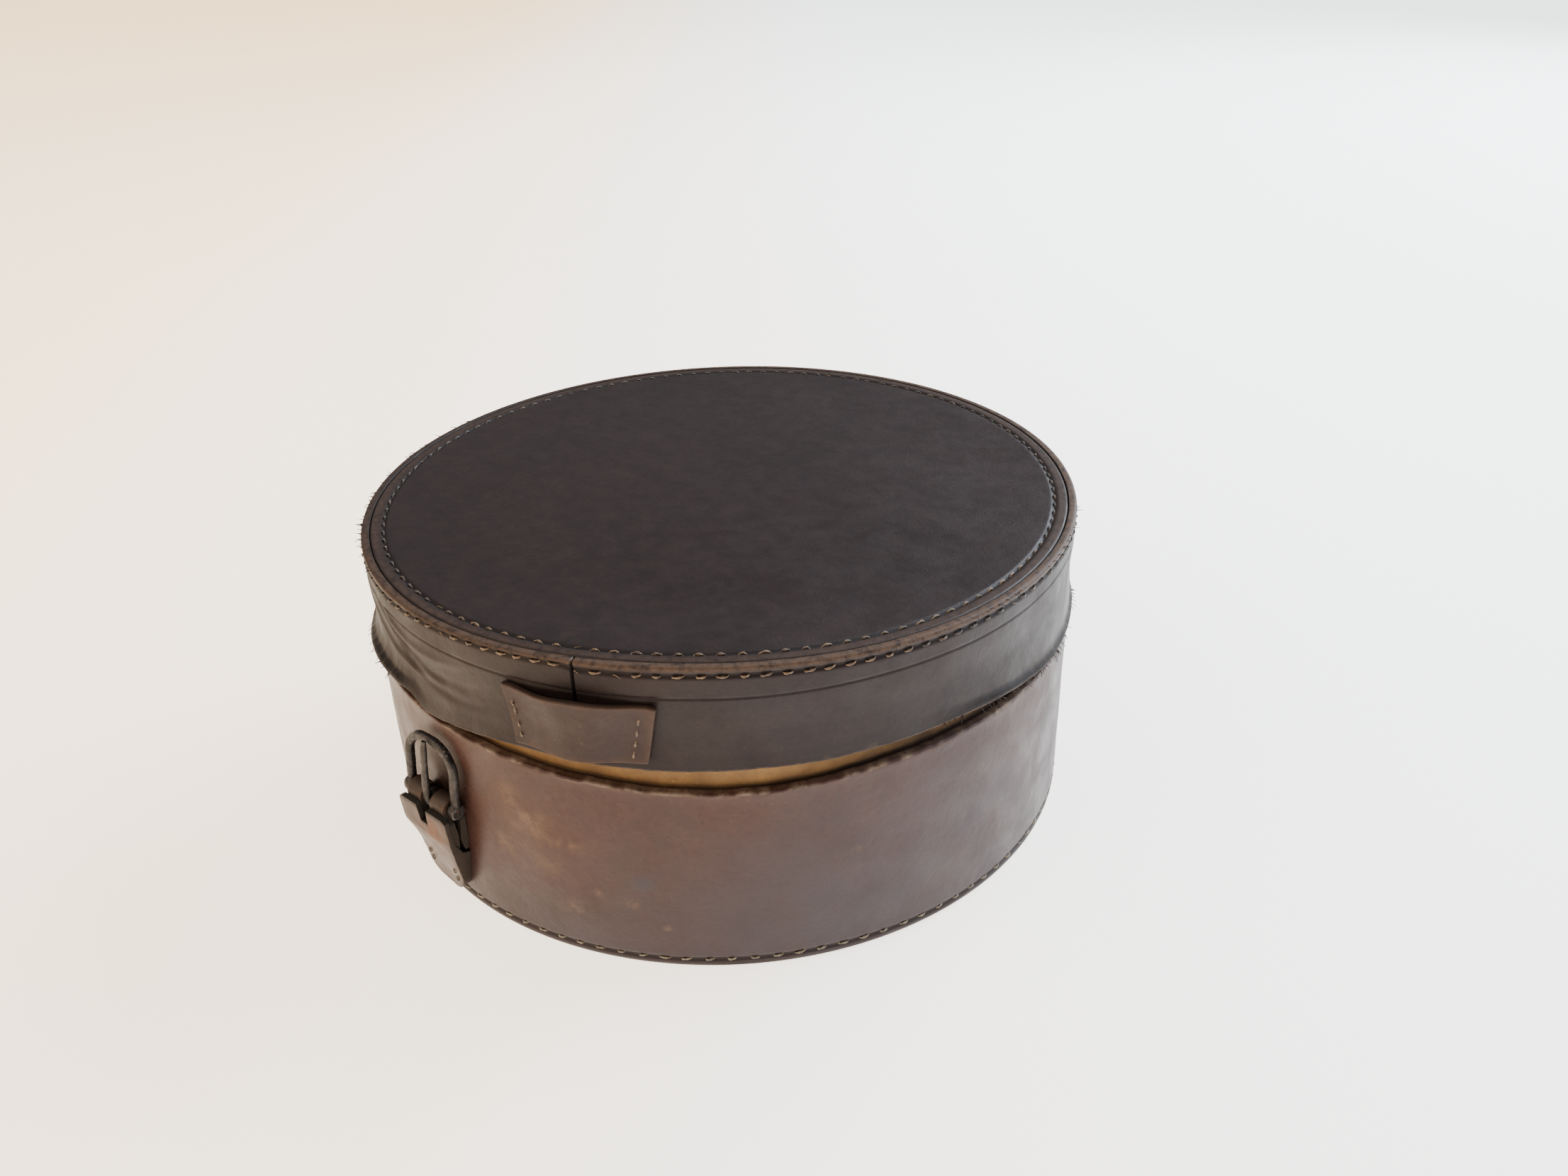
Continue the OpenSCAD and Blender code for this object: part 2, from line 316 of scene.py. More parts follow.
class Nodes:
    """A short way to write a material's nodes. Sizes of textures are in millimetres."""

    def __init__(self, name):
        self.material = bpy.data.materials.new(name)
        self.material.use_nodes = True
        self.tree = self.material.node_tree
        self.tree.nodes.clear()
        self.output = self.tree.nodes.new("ShaderNodeOutputMaterial")
        self.where = self.add("TexCoord").outputs["Object"]

    def add(self, kind, inputs=None, **settings):
        node = self.tree.nodes.new("ShaderNode" + kind)
        for key, value in settings.items():
            setattr(node, key, value)
        for key, value in (inputs or {}).items():
            self.put(node.inputs[key], value)
        return node

    def put(self, socket, value):
        if isinstance(value, bpy.types.NodeSocket):
            self.tree.links.new(value, socket)
        else:
            socket.default_value = value

    def scaled(self, *scale):
        return self.add("Mapping", {"Vector": self.where, "Scale": scale}).outputs["Vector"]

    def noise(self, size, detail=3.0, rough=0.5, warp=0.0, where=None):
        inputs = {"Vector": where or self.where, "Scale": 1000 / size, "Detail": detail}
        return self.add("TexNoise", {**inputs, "Roughness": rough, "Distortion": warp}).outputs["Fac"]

    def cells(self, size, where=None):
        inputs = {"Vector": where or self.where, "Scale": 1000 / size}
        return self.add("TexVoronoi", inputs).outputs["Distance"]

    def span(self, value, low, high, to_low=0.0, to_high=1.0):
        inputs = {"Value": value, "From Min": low, "From Max": high, "To Min": to_low, "To Max": to_high}
        return self.add("MapRange", inputs, interpolation_type="SMOOTHSTEP").outputs["Result"]

    def maths(self, operation, a, b=0.0):
        return self.add("Math", {0: a, 1: b}, operation=operation).outputs["Value"]

    def mix(self, share, a, b):
        return self.add("Mix", {"Factor": share, 6: a, 7: b}, data_type="RGBA").outputs[2]

    def lay(self, under, over, share, strength):
        """The colour under, with over laid on it where share says, times strength."""
        return self.mix(self.maths("MULTIPLY", share, strength), under, over)

    def mark(self, name):
        return self.add("Attribute", attribute_name=name, attribute_type="GEOMETRY").outputs["Fac"]

    def bump(self, height, depth, strength, normal=None):
        inputs = {"Height": height, "Distance": depth * MM, "Strength": strength}
        if normal:
            inputs["Normal"] = normal
        return self.add("Bump", inputs).outputs["Normal"]

    def finish(self, **inputs):
        named = {key.replace("_", " "): value for key, value in inputs.items()}
        shader = self.add("BsdfPrincipled", named)
        self.tree.links.new(shader.outputs["BSDF"], self.output.inputs["Surface"])
        return self.material


def rgb(r, g, b):
    """An sRGB colour, 0 to 255, as linear values for a node."""
    def linear(c):
        c /= 255
        return c / 12.92 if c <= 0.04045 else ((c + 0.055) / 1.055) ** 2.4
    return (linear(r), linear(g), linear(b), 1.0)


HAZE = rgb(51, 43, 47)
STAIN = rgb(122, 94, 62)


def leather(name, deep, main, light, dirt_and_shade, raw, gloss=(0.36, 0.58), shine=0.2, coat=0.08, spots=0.5):
    """Old waxed leather: blotches, scuffs, specks, scratches, dirt and painted shade in its hollows, and raw
    worn edges.
    """
    n = Nodes(name)
    deep, main, light, dirt_and_shade, raw = (rgb(*colour) for colour in (deep, main, light, dirt_and_shade, raw))
    patches = n.span(n.noise(48, 4, 0.55, 0.3), 0.3, 0.7, 0.25, 1.0)
    colour = n.mix(patches, deep, main)
    mottle = light, (6, 6, 0.65, 0.2), (0.3, 0.72)
    fine = deep, (1.6, 4, 0.7), (0.35, 0.7)
    scuffs = light, (16, 8, 0.72, 0.6), (0.6, 0.76)
    for over, texture, limits in (mottle, fine, scuffs):
        colour = n.lay(colour, over, n.span(n.noise(*texture), *limits), 0.3)
    field = n.span(n.noise(22, 2), 0.45, 0.65)
    pale = n.span(n.cells(4.2), 0.13, 0.06)
    colour = n.lay(colour, light, n.maths("MULTIPLY", pale, field), spots)
    dark = n.span(n.cells(6.5, n.scaled(1.3, 1.1, 1.2)), 0.12, 0.05)
    colour = n.lay(colour, deep, dark, spots)
    hairs = n.span(n.noise(0.9, 3, 0.6, 0.4, n.scaled(0.05, 0.05, 1.0)), 0.66, 0.72)
    colour = n.lay(colour, light, hairs, 0.22)
    colour = n.lay(colour, HAZE, n.mark("haze"), n.span(n.noise(18, 5, 0.6), 0.2, 0.6, 0.5, 0.9))
    stained = n.span(n.noise(5, 6, 0.65, 0.3), 0.36, 0.68, 0.0, 0.5)
    colour = n.lay(colour, STAIN, n.mark("stain"), stained)
    ragged = n.span(n.noise(2.2, 5, 0.7), 0.25, 0.6)
    worn = n.maths("MULTIPLY", n.mark("worn"), ragged)
    colour = n.mix(worn, colour, raw)
    # The grime_and_shade mark lays the dark colour as real dirt and also as painted shade in grooves,
    # corners and gaps.
    grime_and_shade = n.maths("MULTIPLY", n.mark("grime_and_shade"), n.span(n.noise(5, 4), 0.1, 0.5, 0.65, 1.0))
    colour = n.mix(grime_and_shade, colour, dirt_and_shade)
    rough = n.span(n.noise(12, 6, 0.6, 0.3), 0.25, 0.75, gloss[0], gloss[1])
    rough = n.maths("ADD", rough, n.maths("MULTIPLY", n.maths("MAXIMUM", grime_and_shade, worn), 0.25))
    pores = n.span(n.cells(0.75), 0.0, 0.5)
    creases = n.noise(3.2, 5, 0.6, 0.8)
    normal = n.bump(n.noise(9, 3), 0.5, 0.25)
    normal = n.bump(creases, 0.3, 0.35, normal)
    normal = n.bump(pores, 0.06, 0.35, normal)
    normal = n.bump(hairs, 0.05, -0.4, normal)
    return n.finish(
        Base_Color=colour, Roughness=rough, Normal=normal,
        Specular_IOR_Level=shine, Coat_Weight=coat, Coat_Roughness=0.35,
    )


# Scale of a wave texture for threads a millimetre apart, two to a wave
WAVES = 157


def woven(name, main, shade, stain, pitch=0.55):
    """Glazed cotton over card: a fine plain weave with foxing and soft stains."""
    n = Nodes(name)
    main, shade, stain = rgb(*main), rgb(*shade), rgb(*stain)
    waves = {"Scale": WAVES / pitch, "Distortion": 0.6}
    across = n.add("TexWave", {"Vector": n.where, **waves}, bands_direction="Z")
    level = n.scaled(1.0, 1.0, 0.0)
    along = n.add("TexWave", {"Vector": level, **waves}, bands_direction="DIAGONAL")
    weave = n.maths("MULTIPLY", across.outputs["Fac"], along.outputs["Fac"])
    colour = n.mix(n.span(n.noise(40, 5, 0.6, 0.4), 0.35, 0.7), main, shade)
    colour = n.mix(n.span(n.noise(9, 6, 0.7), 0.62, 0.76, 0, 0.55), colour, stain)
    colour = n.lay(colour, shade, weave, 0.3)
    normal = n.bump(n.noise(8, 3), 0.25, 0.3)
    normal = n.bump(weave, 0.08, 0.5, normal)
    return n.finish(Base_Color=colour, Roughness=0.82, Normal=normal, Sheen_Weight=0.25)


def linen(name, fresh, dull):
    """Waxed linen thread, some stitches fresh and some dark with age."""
    n = Nodes(name)
    tone = n.span(n.noise(1.1, 4, 0.6), 0.3, 0.7, 0.0, 0.35)
    age = n.maths("ADD", n.mark("worn"), tone)
    colour = n.mix(age, rgb(*fresh), rgb(*dull))
    fibres = n.noise(0.16, 3, 0.7, 0.5)
    return n.finish(Base_Color=colour, Roughness=0.7, Normal=n.bump(fibres, 0.05, 0.6), Sheen_Weight=0.2)


def iron(name):
    """Blackened iron: worn paler on its high places, brown with old rust in patches, finely pitted."""
    n = Nodes(name)
    edges = n.span(n.add("NewGeometry").outputs["Pointiness"], 0.5, 0.58)
    rub = n.maths("MULTIPLY", edges, n.span(n.noise(4, 4, 0.6), 0.3, 0.6))
    colour = n.mix(n.span(n.noise(5, 6, 0.65), 0.35, 0.65), rgb(36, 33, 32), rgb(56, 52, 50))
    rust = n.span(n.noise(3.2, 7, 0.72, 0.5), 0.56, 0.7, 0, 0.75)
    colour = n.mix(rust, colour, rgb(66, 49, 37))
    colour = n.mix(rub, colour, rgb(108, 101, 95))
    pits = n.noise(0.7, 6, 0.65)
    rough = n.span(n.noise(1.6, 4), 0.3, 0.7, 0.34, 0.62)
    normal = n.bump(n.noise(2.4, 3), 0.2, 0.35)
    normal = n.bump(pits, 0.07, 0.6, normal)
    return n.finish(Base_Color=colour, Roughness=rough, Metallic=0.75, Normal=normal)


BODY_LEATHER = leather(
    "reddish_brown_leather", deep=(46, 27, 23), main=(64, 37, 28), light=(85, 55, 40),
    dirt_and_shade=(34, 27, 24), raw=(122, 104, 88),
)
LID_LEATHER = leather(
    "chocolate_leather", deep=(27, 20, 20), main=(36, 26, 25), light=(55, 42, 38),
    dirt_and_shade=(24, 19, 18), raw=(98, 76, 60), shine=0.14, coat=0.06, spots=0.4,
)
KEEPER_LEATHER = leather(
    "brown_keeper_leather", deep=(39, 28, 26), main=(50, 36, 32), light=(72, 54, 45),
    dirt_and_shade=(26, 20, 18), raw=(84, 62, 46), shine=0.14, coat=0.06,
)
COLLAR_LEATHER = leather(
    "golden_tan_leather", deep=(92, 65, 42), main=(124, 90, 52), light=(166, 128, 70),
    dirt_and_shade=(56, 43, 33), raw=(150, 122, 84), gloss=(0.5, 0.7), coat=0.0, spots=0.6,
)
CHAPE_LEATHER = leather(
    "pale_brown_leather", deep=(56, 40, 33), main=(75, 54, 44), light=(96, 74, 58),
    dirt_and_shade=(38, 34, 29), raw=(116, 74, 44),
)
LINING_CLOTH = woven("buff_cotton", main=(168, 149, 116), shade=(140, 119, 86), stain=(108, 82, 54))
THREAD = linen("waxed_linen", fresh=(124, 95, 64), dull=(56, 47, 39))
BASE_THREAD = linen("dusty_linen", fresh=(138, 125, 100), dull=(88, 79, 64))
IRON = iron("blackened_iron")

# ---------------------------------------------------------------- the walls


def ledge_height(angle):
    """Top edge of the body wall: it dips where the collar shows most."""
    a = turn_between(angle, 0)
    dip = DIP_DEPTH * bump_at(a, DIP_AT, DIP_SPREAD[a > DIP_AT])
    raised = band(a, -150, -90, 62, 100)
    wave = 0.22 * ring_noise(angle, 0, 9, 1) + 0.16 * ring_noise(angle, 0, 2.2, 2)
    return LEDGE_Z + LEDGE_OFF + LEDGE_UP * raised - dip + wave


def lid_edge_height(angle):
    """Lower edge of the lid wall: higher over the gap, and curled up beside the buckle."""
    a = turn_between(angle, 0)
    closed = smooth(GAP_TO, GAP_TO + 29, a)
    open_part = smooth(GAP_FROM - 22, GAP_FROM, a) * (1 - closed)
    raised = smooth(-150, -90, a) * (1 - closed)
    curl = band(a, CURL_FROM - 18, CURL_FROM, CURL_TO - 1, CURL_TO + 4)
    wave = 0.3 * ring_noise(angle, 0, 18, 3) + 0.15 * ring_noise(angle, 0, 5, 4)
    wave += (0.12 + 0.12 * max(curl, closed)) * ring_noise(angle, 0, 1.6, 5)
    steady = LID_Z + LID_EDGE_OFF + LID_EDGE_UP * raised + GAP_UP * open_part + CURL_UP * curl
    return steady + 0.5 * bump_at(a, 22, 9) + wave


def dents(angle, z, seed, depth):
    """Slow unevenness of a hand-made wall."""
    return depth * (ring_noise(angle, z, 42, seed) + 0.45 * ring_noise(angle, z * 1.4, 15, seed + 1))


def corner(r, z, size, toward_r, toward_z, grime_and_shade=0.0, worn=0.5):
    """A rounded corner at (r, z), from the side that lies toward_z to the one that lies toward_r."""
    points = []
    for t in (0.1, 0.5, 0.9):
        a = t * math.pi / 2
        across = toward_r * size * (1 - math.cos(a))
        points.append((r + across, z + toward_z * size * (1 - math.sin(a)), grime_and_shade, worn))
    return points


SEAM_DROP = 2.5
BASE_SEAM_Z = SEAM_DROP
LID_SEAM_Z = BOX_H - SEAM_DROP
TOOLED_Z = BOX_H - 6.9
GROOVE_WIDE = 0.62
GROOVE_DEEP = 0.5
SLIT_DEEP = 1.2


def seam_groove(z, middle):
    return bump_at(z, middle, GROOVE_WIDE)


# The angle of the painted shade on the wall behind the buckle
BEHIND_BUCKLE = 2.5
# The body's points are finer below this height, round its seam
BODY_FINE_TOP = 5.2


def body_section(angle):
    top = ledge_height(angle)
    slit = joint_slit(angle, WALL_JOINT)
    points = corner(BODY_R, 0, 0.9, -1, 1, grime_and_shade=0.7, worn=0.3)[::-1]
    levels = [*np.arange(1.1, BODY_FINE_TOP, 0.22), *np.linspace(BODY_FINE_TOP, LEDGE_Z - 1, 56)]
    stretch = (top - 0.9 - BODY_FINE_TOP) / (LEDGE_Z - 1 - BODY_FINE_TOP)
    for z in levels:
        if z > BODY_FINE_TOP:
            z = BODY_FINE_TOP + (z - BODY_FINE_TOP) * stretch
        groove = seam_groove(z, BASE_SEAM_Z)
        rim = bump_at(z, top, 2.2)
        r = BODY_R + dents(angle, z, 10, 0.22) - GROOVE_DEEP * groove - SLIT_DEEP * slit + 0.25 * rim
        foot = bump_at(z, 0, 2.5)
        behind = hump(angle, BEHIND_BUCKLE, 4.5) * bump_at(z, BAR.z + 7, 11)
        # Darker: painted shade in the stitch groove and on the wall behind the buckle, a dark joint slit,
        # and darker towards the foot
        grime_and_shade = max(0.8 * groove, 0.9 * slit, 0.45 * foot, 0.8 * behind)
        points.append((r, z, grime_and_shade, 0.35 * bump_at(z, top, 0.8)))
    outer = BODY_R + 0.2 + 0.15 * ring_noise(angle, 60, 3, 12)
    fray = 0.3 * ring_noise(angle, 61, 1.6, 13)
    rub = smooth(-0.15, 0.35, ring_noise(angle, 0, 4, 16))
    points += corner(outer - SLIT_DEEP * slit, top + 0.5 * fray, 0.6, -1, -1, grime_and_shade=0.1, worn=0.95 * rub)
    # The ledge top's pale raw colour is partly real wear and partly painted light on a face shaded under the
    # lid; the corner against the collar is painted dark as shade
    for share in (0.25, 0.5, 0.75):
        r = outer - 0.6 - share * (outer - 0.6 - COLLAR_R - 0.35)
        z = top + fray * (1 - share) - 0.1 - 0.3 * slit
        points.append((r, z, 0.3 * share * share, 0.35 + 0.5 * rub))
    inner = COLLAR_R + 0.06
    points.append((inner, top - 0.3, 0.7, 0))
    points += [(inner, z, 0.3, 0) for z in np.linspace(top - 4, 4, 8)]
    points += [(inner, 0.5, 0.7, 0), (COLLAR_R + 0.5, 0.02, 0.6, 0.2), (BODY_R - 1.4, 0.02, 0.6, 0.3)]
    return points


# Creases beside the buckle: (angle where it is deepest, height there, slope in mm a degree, reach, depth)
CREASES = (
    (-6, 80.5, -0.42, 13, 0.75),
    (-4, 76.0, -0.48, 12, -0.8),
    (-8, 72.5, -0.36, 12, 0.7),
    (2, 71.0, -0.30, 9, -0.5),
    (-14, 83.5, -0.30, 8, -0.45),
)
CREASE_WIDE = 1.25


def creases(angle, z):
    a = turn_between(angle, 0)
    depth = 0.0
    for middle, height, slope, reach, deep in CREASES:
        line = height + slope * (a - middle) + 0.03 * (a - middle) ** 2
        depth += deep * bump_at(z, line, CREASE_WIDE) * bump_at(a, middle, reach)
    return depth


# Pale stains beside the buckle: (angle, height, spread along the wall, spread in height, strength)
STAINS = (
    (18.5, 40, 3.2, 3.6, 1.0),
    (15.5, 46, 2.2, 4.0, 0.6),
    (24, 36, 4.5, 2.2, 0.6),
    (13, 30, 3.0, 4.0, 0.5),
    (20, 27, 6.0, 3.0, 0.35),
    (25, 15, 1.8, 2.2, 0.8),
    (34, 20, 1.2, 1.8, 0.7),
    (29, 22, 0.7, 1.0, 0.9),
    (39, 13, 0.6, 0.9, 1.0),
    (66, 33, 1.0, 1.2, 0.6),
)


def body_stain(angle, z):
    spots = (much * hump(angle, at, wide) * bump_at(z, up, tall) for at, up, wide, tall, much in STAINS)
    return min(1.0, sum(spots))


def body_haze(angle, z):
    """The body turns grey and dull towards its foot, and all the more away from the buckle."""
    a = turn_between(angle, 0)
    smudge = 0.7 * bump_at(a, 36, 1.6) * bump_at(z, 27, 2.2)
    far = band(a, 5, 85, 110, 170)
    return min(1.0, smudge + smooth(0.2, 1.1, 0.75 * (1 - z / LEDGE_Z) + 0.55 * far))


# The lid wall's stretch beside the buckle that is painted dark as shade
LID_SHADE_AT = -26
LID_SHADE_SPREAD = 30
# Torn places of the lid's lower edge: (angle, spread)
NICKS = ((68.5, 0.7), (62, 0.35), (30.5, 0.3), (87, 0.5), (-12, 0.6), (13, 0.25))


def lid_rise(angle):
    """How far the lid's rim has risen at the front of the box."""
    return RISE * hump(angle, RISE_AT, RISE_SPREAD)


def lid_seam_height(angle):
    """Height of the lid's outer stitch row: before the wall's joint the leather stands a little higher."""
    left = turn_between(angle, LID_TURN)
    return LID_SEAM_Z + lid_rise(angle) + 1.0 * (1 - smooth(-1.5, 0.5, left)) * smooth(-40, -22, left)


def torn_lip(angle):
    """1 where the lid's lower edge is rough, torn and turned out, 0 elsewhere."""
    a = turn_between(angle, 0)
    return band(a, -62, -42, CURL_TO - 4, CURL_TO + 2) + band(a, 76, 92, 150, 170)


def lid_groove(angle, z):
    """1 in the groove of the lid's outer stitch row, 0 away from it."""
    return seam_groove(z, lid_seam_height(angle) + 0.25)


def lip_flare(angle):
    return LIP_OUT * (0.35 + 0.65 * torn_lip(angle) + 0.3 * hump(angle, -20, 20))


def lid_outer(angle, z, low):
    """Radius of the lid wall's outside."""
    waist = 0.55 * bump_at(z, LID_Z + 12, 6.5)
    torn = torn_lip(angle)
    flare = lip_flare(angle) * (1 - smooth(1.2 * torn, 5.0 - 2.4 * torn, z - low))
    crease = 0.24 * bump_at(z, TOOLED_Z + 0.25 * ring_noise(angle, 0, 30, 6), 0.34)
    curl = CURL_OUT * hump(angle, CURL_AT, CURL_SPREAD) * (1 - smooth(0, 6, z - low))
    groove = GROOVE_DEEP * lid_groove(angle, z)
    loose = smooth(3, 12, BOX_H + lid_rise(angle) - z)
    uneven = dents(angle, z, 20, 0.28) + creases(angle, z)
    return LID_R - 0.15 - waist + flare - crease - groove + curl + loose * uneven


def lid_section(angle):
    low = lid_edge_height(angle)
    slit = joint_slit(angle, LID_TURN)
    high = BOX_H + lid_rise(angle)
    inner = LID_IN + 0.02
    torn = torn_lip(angle)
    edge = lid_outer(angle, low, low)
    fray = 0.2 * ring_noise(angle, 62, 1.5, 14)
    points = corner(edge - SLIT_DEEP * slit, low, 0.6, -1, 1, grime_and_shade=0.55, worn=0.6)[::-1]
    span = high - 9.6 - low
    levels = [low + span * t for t in np.linspace(0.8, 19.5, 38) / 19.5]
    levels += [*np.linspace(high - 9.3, high - 0.9, 42)]
    for z in levels:
        groove = lid_groove(angle, z)
        tooled = bump_at(z, TOOLED_Z, 0.4)
        # Darker: the lower edge, more where torn; painted shade in the stitch groove and on the stretch
        # beside the buckle; a dark joint slit and a faint tooled line
        edge_dark = (0.45 + 0.5 * torn) * (1 - smooth(0.4 + 1.2 * torn, 2.2 + 0.2 * torn, z - low))
        painted_shade = 0.75 * hump(angle, LID_SHADE_AT, LID_SHADE_SPREAD) * (0.75 + 0.25 * ring_noise(angle, z, 6, 7))
        grime_and_shade = max(0.85 * groove, 0.9 * slit, 0.3 * tooled, edge_dark, painted_shade)
        torn_at = max(hump(angle, at, wide) for at, wide in NICKS) * bump_at(z, low, 1.1)
        worn = max(0.45 * bump_at(z, high, 1.3), 0.25 * max(0.0, creases(angle, z)), torn_at)
        points.append((lid_outer(angle, z, low) - SLIT_DEEP * slit, z, grime_and_shade, worn))
    rim = lid_outer(angle, high, low) - SLIT_DEEP * slit
    bare = 0.75 - 0.5 * hump(angle, -60, 50)
    points += corner(rim, high - 0.4 * slit, 0.75, -1, -1, grime_and_shade=0.1, worn=bare)
    for share in (0.3, 0.6, 0.85):
        r = rim - 0.75 - share * (rim - 0.75 - inner)
        z = high + 0.06 * ring_noise(angle, share * 9, 2.5, 15) - 0.6 * slit
        points.append((r, z, 0.1 + 0.5 * share * share, bare))
    points += [(inner + 0.1, high - 0.15, 0.9, 0), (inner, high - 0.6, 0.9, 0)]
    points += [(inner, z, 0.2, 0.2) for z in np.linspace(high - 3, low + 2, 8)]
    points += [(inner + 0.15, low + 0.5 + fray, 0.4, 0.5), (inner + 0.6, low + 0.05 + fray, 0.5, 0.7)]
    return points


def collar_section(angle):
    """The inner collar: golden where it shows, its free top edge skived thin."""
    top = COLLAR_TOP - 0.25 + 0.2 * ring_noise(angle, 0, 12, 30)
    ledge = ledge_height(angle)
    a = turn_between(angle, 0)
    painted_shade = 0.7 * band(a, 50, 76, 110, 150)
    levels = [PANEL_T + 0.05, *np.linspace(8, ledge - 2, 6), *np.linspace(ledge - 1, LID_Z + 8, 20)]
    points = []
    for z in [*levels, 75, 80, top - 1.4]:
        # Darker as painted shade where the collar meets the ledge and just under the lid's edge, with some
        # real dirt at random
        dirt_and_shade = 0.75 * bump_at(z, ledge, 0.6) + 0.3 * bump_at(z, LID_Z + 2.5, 1.2)
        dirt_and_shade += painted_shade * (1 - smooth(LID_Z + 1, LID_Z + 6, z))
        dirt_and_shade += 0.3 * max(0.0, ring_noise(angle, 2 * z, 7, 32))
        r = COLLAR_R - 0.03 + 0.12 * (ring_noise(angle, z, 20, 31) - 1) * smooth(0, 3, z - ledge)
        points.append((r, z, min(1.0, dirt_and_shade), 0.15 * smooth(0, 6, z - ledge)))
    points += corner(COLLAR_R - 0.15, top, 0.5, -1, -1, grime_and_shade=0.2, worn=0.6)
    points += corner(COLLAR_IN + 0.02, top, 0.4, 1, -1, grime_and_shade=0.2, worn=0.6)[::-1]
    return points + [(COLLAR_IN + 0.02, z, 0.1, 0.1) for z in (top - 2, 60, 40, 20, PANEL_T + 0.05)]


# The lining's lap at the back: (rise from, rise to, fall from, fall to) as angles, and its thickness
LAP = (179.2, 180.2, 191, 191.4)
LAP_T = 0.25
# Drops below the lining's top edge round its turned-over hem
HEM = (0.3, 1.5, 3, 4.5, 5.0, 5.2)


def lining_section(angle):
    """Cloth over card, turned over at its top edge and lapped at the back."""
    top = LINING_TOP + 0.15 * ring_noise(angle, 0, 15, 40)
    outer = COLLAR_IN - 0.03
    inner = COLLAR_IN - LINING_T
    lap = LAP_T * band(angle, *LAP)
    ripple = 0.12 * ring_noise(angle, 0, 7, 41)
    line = [(outer, PANEL_T + 0.1), (outer, 40), (outer, top - 0.5), (outer - 0.15, top - 0.1)]
    line.append(((outer + inner) / 2, top))
    line += [(inner - 0.12 * (drop < HEM[-1]) + 0.15 * (drop == HEM[0]) - lap, top - drop) for drop in HEM]
    line += [(inner + ripple * 0.5 - lap, z) for z in np.linspace(top - 8, PAD_TOP + 1, 14)]
    line.append((inner, PANEL_T + 0.1))
    return [(r, z, 0, 0) for r, z in line]


# The columns of points are finer at the creases beside the buckle and at the edges of the lining's lap
NEAR_CREASES = [(-28, 12, 0.3)]
NEAR_LAP = [(178.9, 180.5, 0.15), (190.6, 191.8, 0.15)]


def build_walls():
    add_ring(
        "body_wall_leather", ring_columns(0.5, joint=WALL_JOINT), body_section,
        "body", "body_leather", ["body_wall"], BODY_LEATHER, tints={"stain": body_stain, "haze": body_haze},
    )
    add_ring(
        "lid_wall_leather", ring_columns(0.6, NEAR_CREASES, LID_TURN), lid_section,
        "lid", "lid_leather", ["lid_wall"], LID_LEATHER,
    )
    add_ring(
        "collar_leather_band", ring_columns(0.9), collar_section,
        "body", "collar_leather", ["body_collar"], COLLAR_LEATHER,
    )
    add_ring(
        "collar_lining_cloth", ring_columns(0.9, NEAR_LAP), lining_section,
        "body", "lining_cloth", ["collar_lining"], LINING_CLOTH,
    )


# ---------------------------------------------------------------- the panels and pads

SEAM_INSET = 6.4


def panel_levels(r_max, groove_r):
    coarse = np.arange(3, groove_r - 2.4, 4)
    fine = np.arange(groove_r - 2.0, groove_r + 2.01, 0.22)
    return [*coarse, *fine, r_max - 1.2, r_max - 0.7, r_max - 0.35, r_max - 0.1]


def lid_face(r, angle):
    groove = bump_at(r, LID_R - SEAM_INSET, GROOVE_WIDE)
    swell = 0.35 * grain(polar(r, angle, 0), 45, 50) + 0.12 * grain(polar(r, angle, 0), 12, 51)
    free = 1 - smooth(80, 99, r)
    edge = smooth(LID_IN - 0.5, LID_IN, r)
    rub = bump_at(r, LID_R - SEAM_INSET + 2.5, 1.5)
    lift = lid_rise(angle) * smooth(66, 95, r)
    z = BOX_H + lift - 0.02 - GROOVE_DEEP * groove - 0.35 * edge + free * (swell - 0.5) - 0.05
    # Painted shade darkens the stitch groove; the dark line at the panel's edge is its joint with the wall
    return z, max(0.85 * groove, 0.9 * edge), 0.25 * rub


def base_face(r, angle):
    groove = bump_at(r, BODY_R - SEAM_INSET, GROOVE_WIDE)
    rub = 0.5 * bump_at(r, 70, 35)
    hollow = 0.4 * (1 - smooth(70, 92, r))
    z = 0.05 + GROOVE_DEEP * groove + hollow * (0.6 + 0.4 * grain(polar(r, angle, 0), 30, 52))
    # Painted shade darkens the stitch groove; the whole base is a little darker
    return z, max(0.8 * groove, 0.3), rub


def pad_face(top, sign, seed):
    """The face of a cloth-covered pad, as add_disc takes it. sign is 1 if it faces up, -1 if down."""

    def height(r, angle):
        edge = 0.35 * smooth(PAD_R - 1.4, PAD_R, r)
        return top - sign * (edge + 0.12 + 0.1 * grain(polar(r, angle, 0), 24, seed)), 0, 0

    return height


def build_panels():
    lid_edge = LID_IN - 0.04
    add_disc(
        "lid_panel_leather", lid_edge, panel_levels(lid_edge, LID_R - SEAM_INSET), lid_face, PANEL_T - 0.4,
        "lid", "lid_leather", ["lid_panel"], LID_LEATHER,
    )
    base_edge = COLLAR_R - 0.04
    levels = panel_levels(base_edge, BODY_R - SEAM_INSET)
    add_disc(
        "base_panel_leather", base_edge, levels, base_face, 0.5 - PANEL_T,
        "body", "body_leather", ["base_panel"], BODY_LEATHER,
    )
    levels = [*np.arange(4, PAD_R - 3, 5), *np.linspace(PAD_R - 2, PAD_R - 0.1, 6)]
    add_disc(
        "base_pad_cloth", PAD_R, levels, pad_face(PAD_TOP, 1, 60), PAD_TOP - PANEL_T - 0.2,
        "body", "lining_cloth", ["base_pad"], LINING_CLOTH,
    )
    levels = [r * (LID_PAD_R / PAD_R) for r in levels]
    add_disc(
        "lid_pad_cloth", LID_PAD_R, levels, pad_face(LID_PAD_Z, -1, 61), LID_PAD_Z - LID_PAD_TOP + 0.2,
        "lid", "lining_cloth", ["lid_pad"], LINING_CLOTH,
    )


# ---------------------------------------------------------------- stitches

PLY_SIDES = 6
PLY_RINGS = 9
PLY_R = 0.2
PLY_OUT = 0.12
PLY_TURNS = 0.8


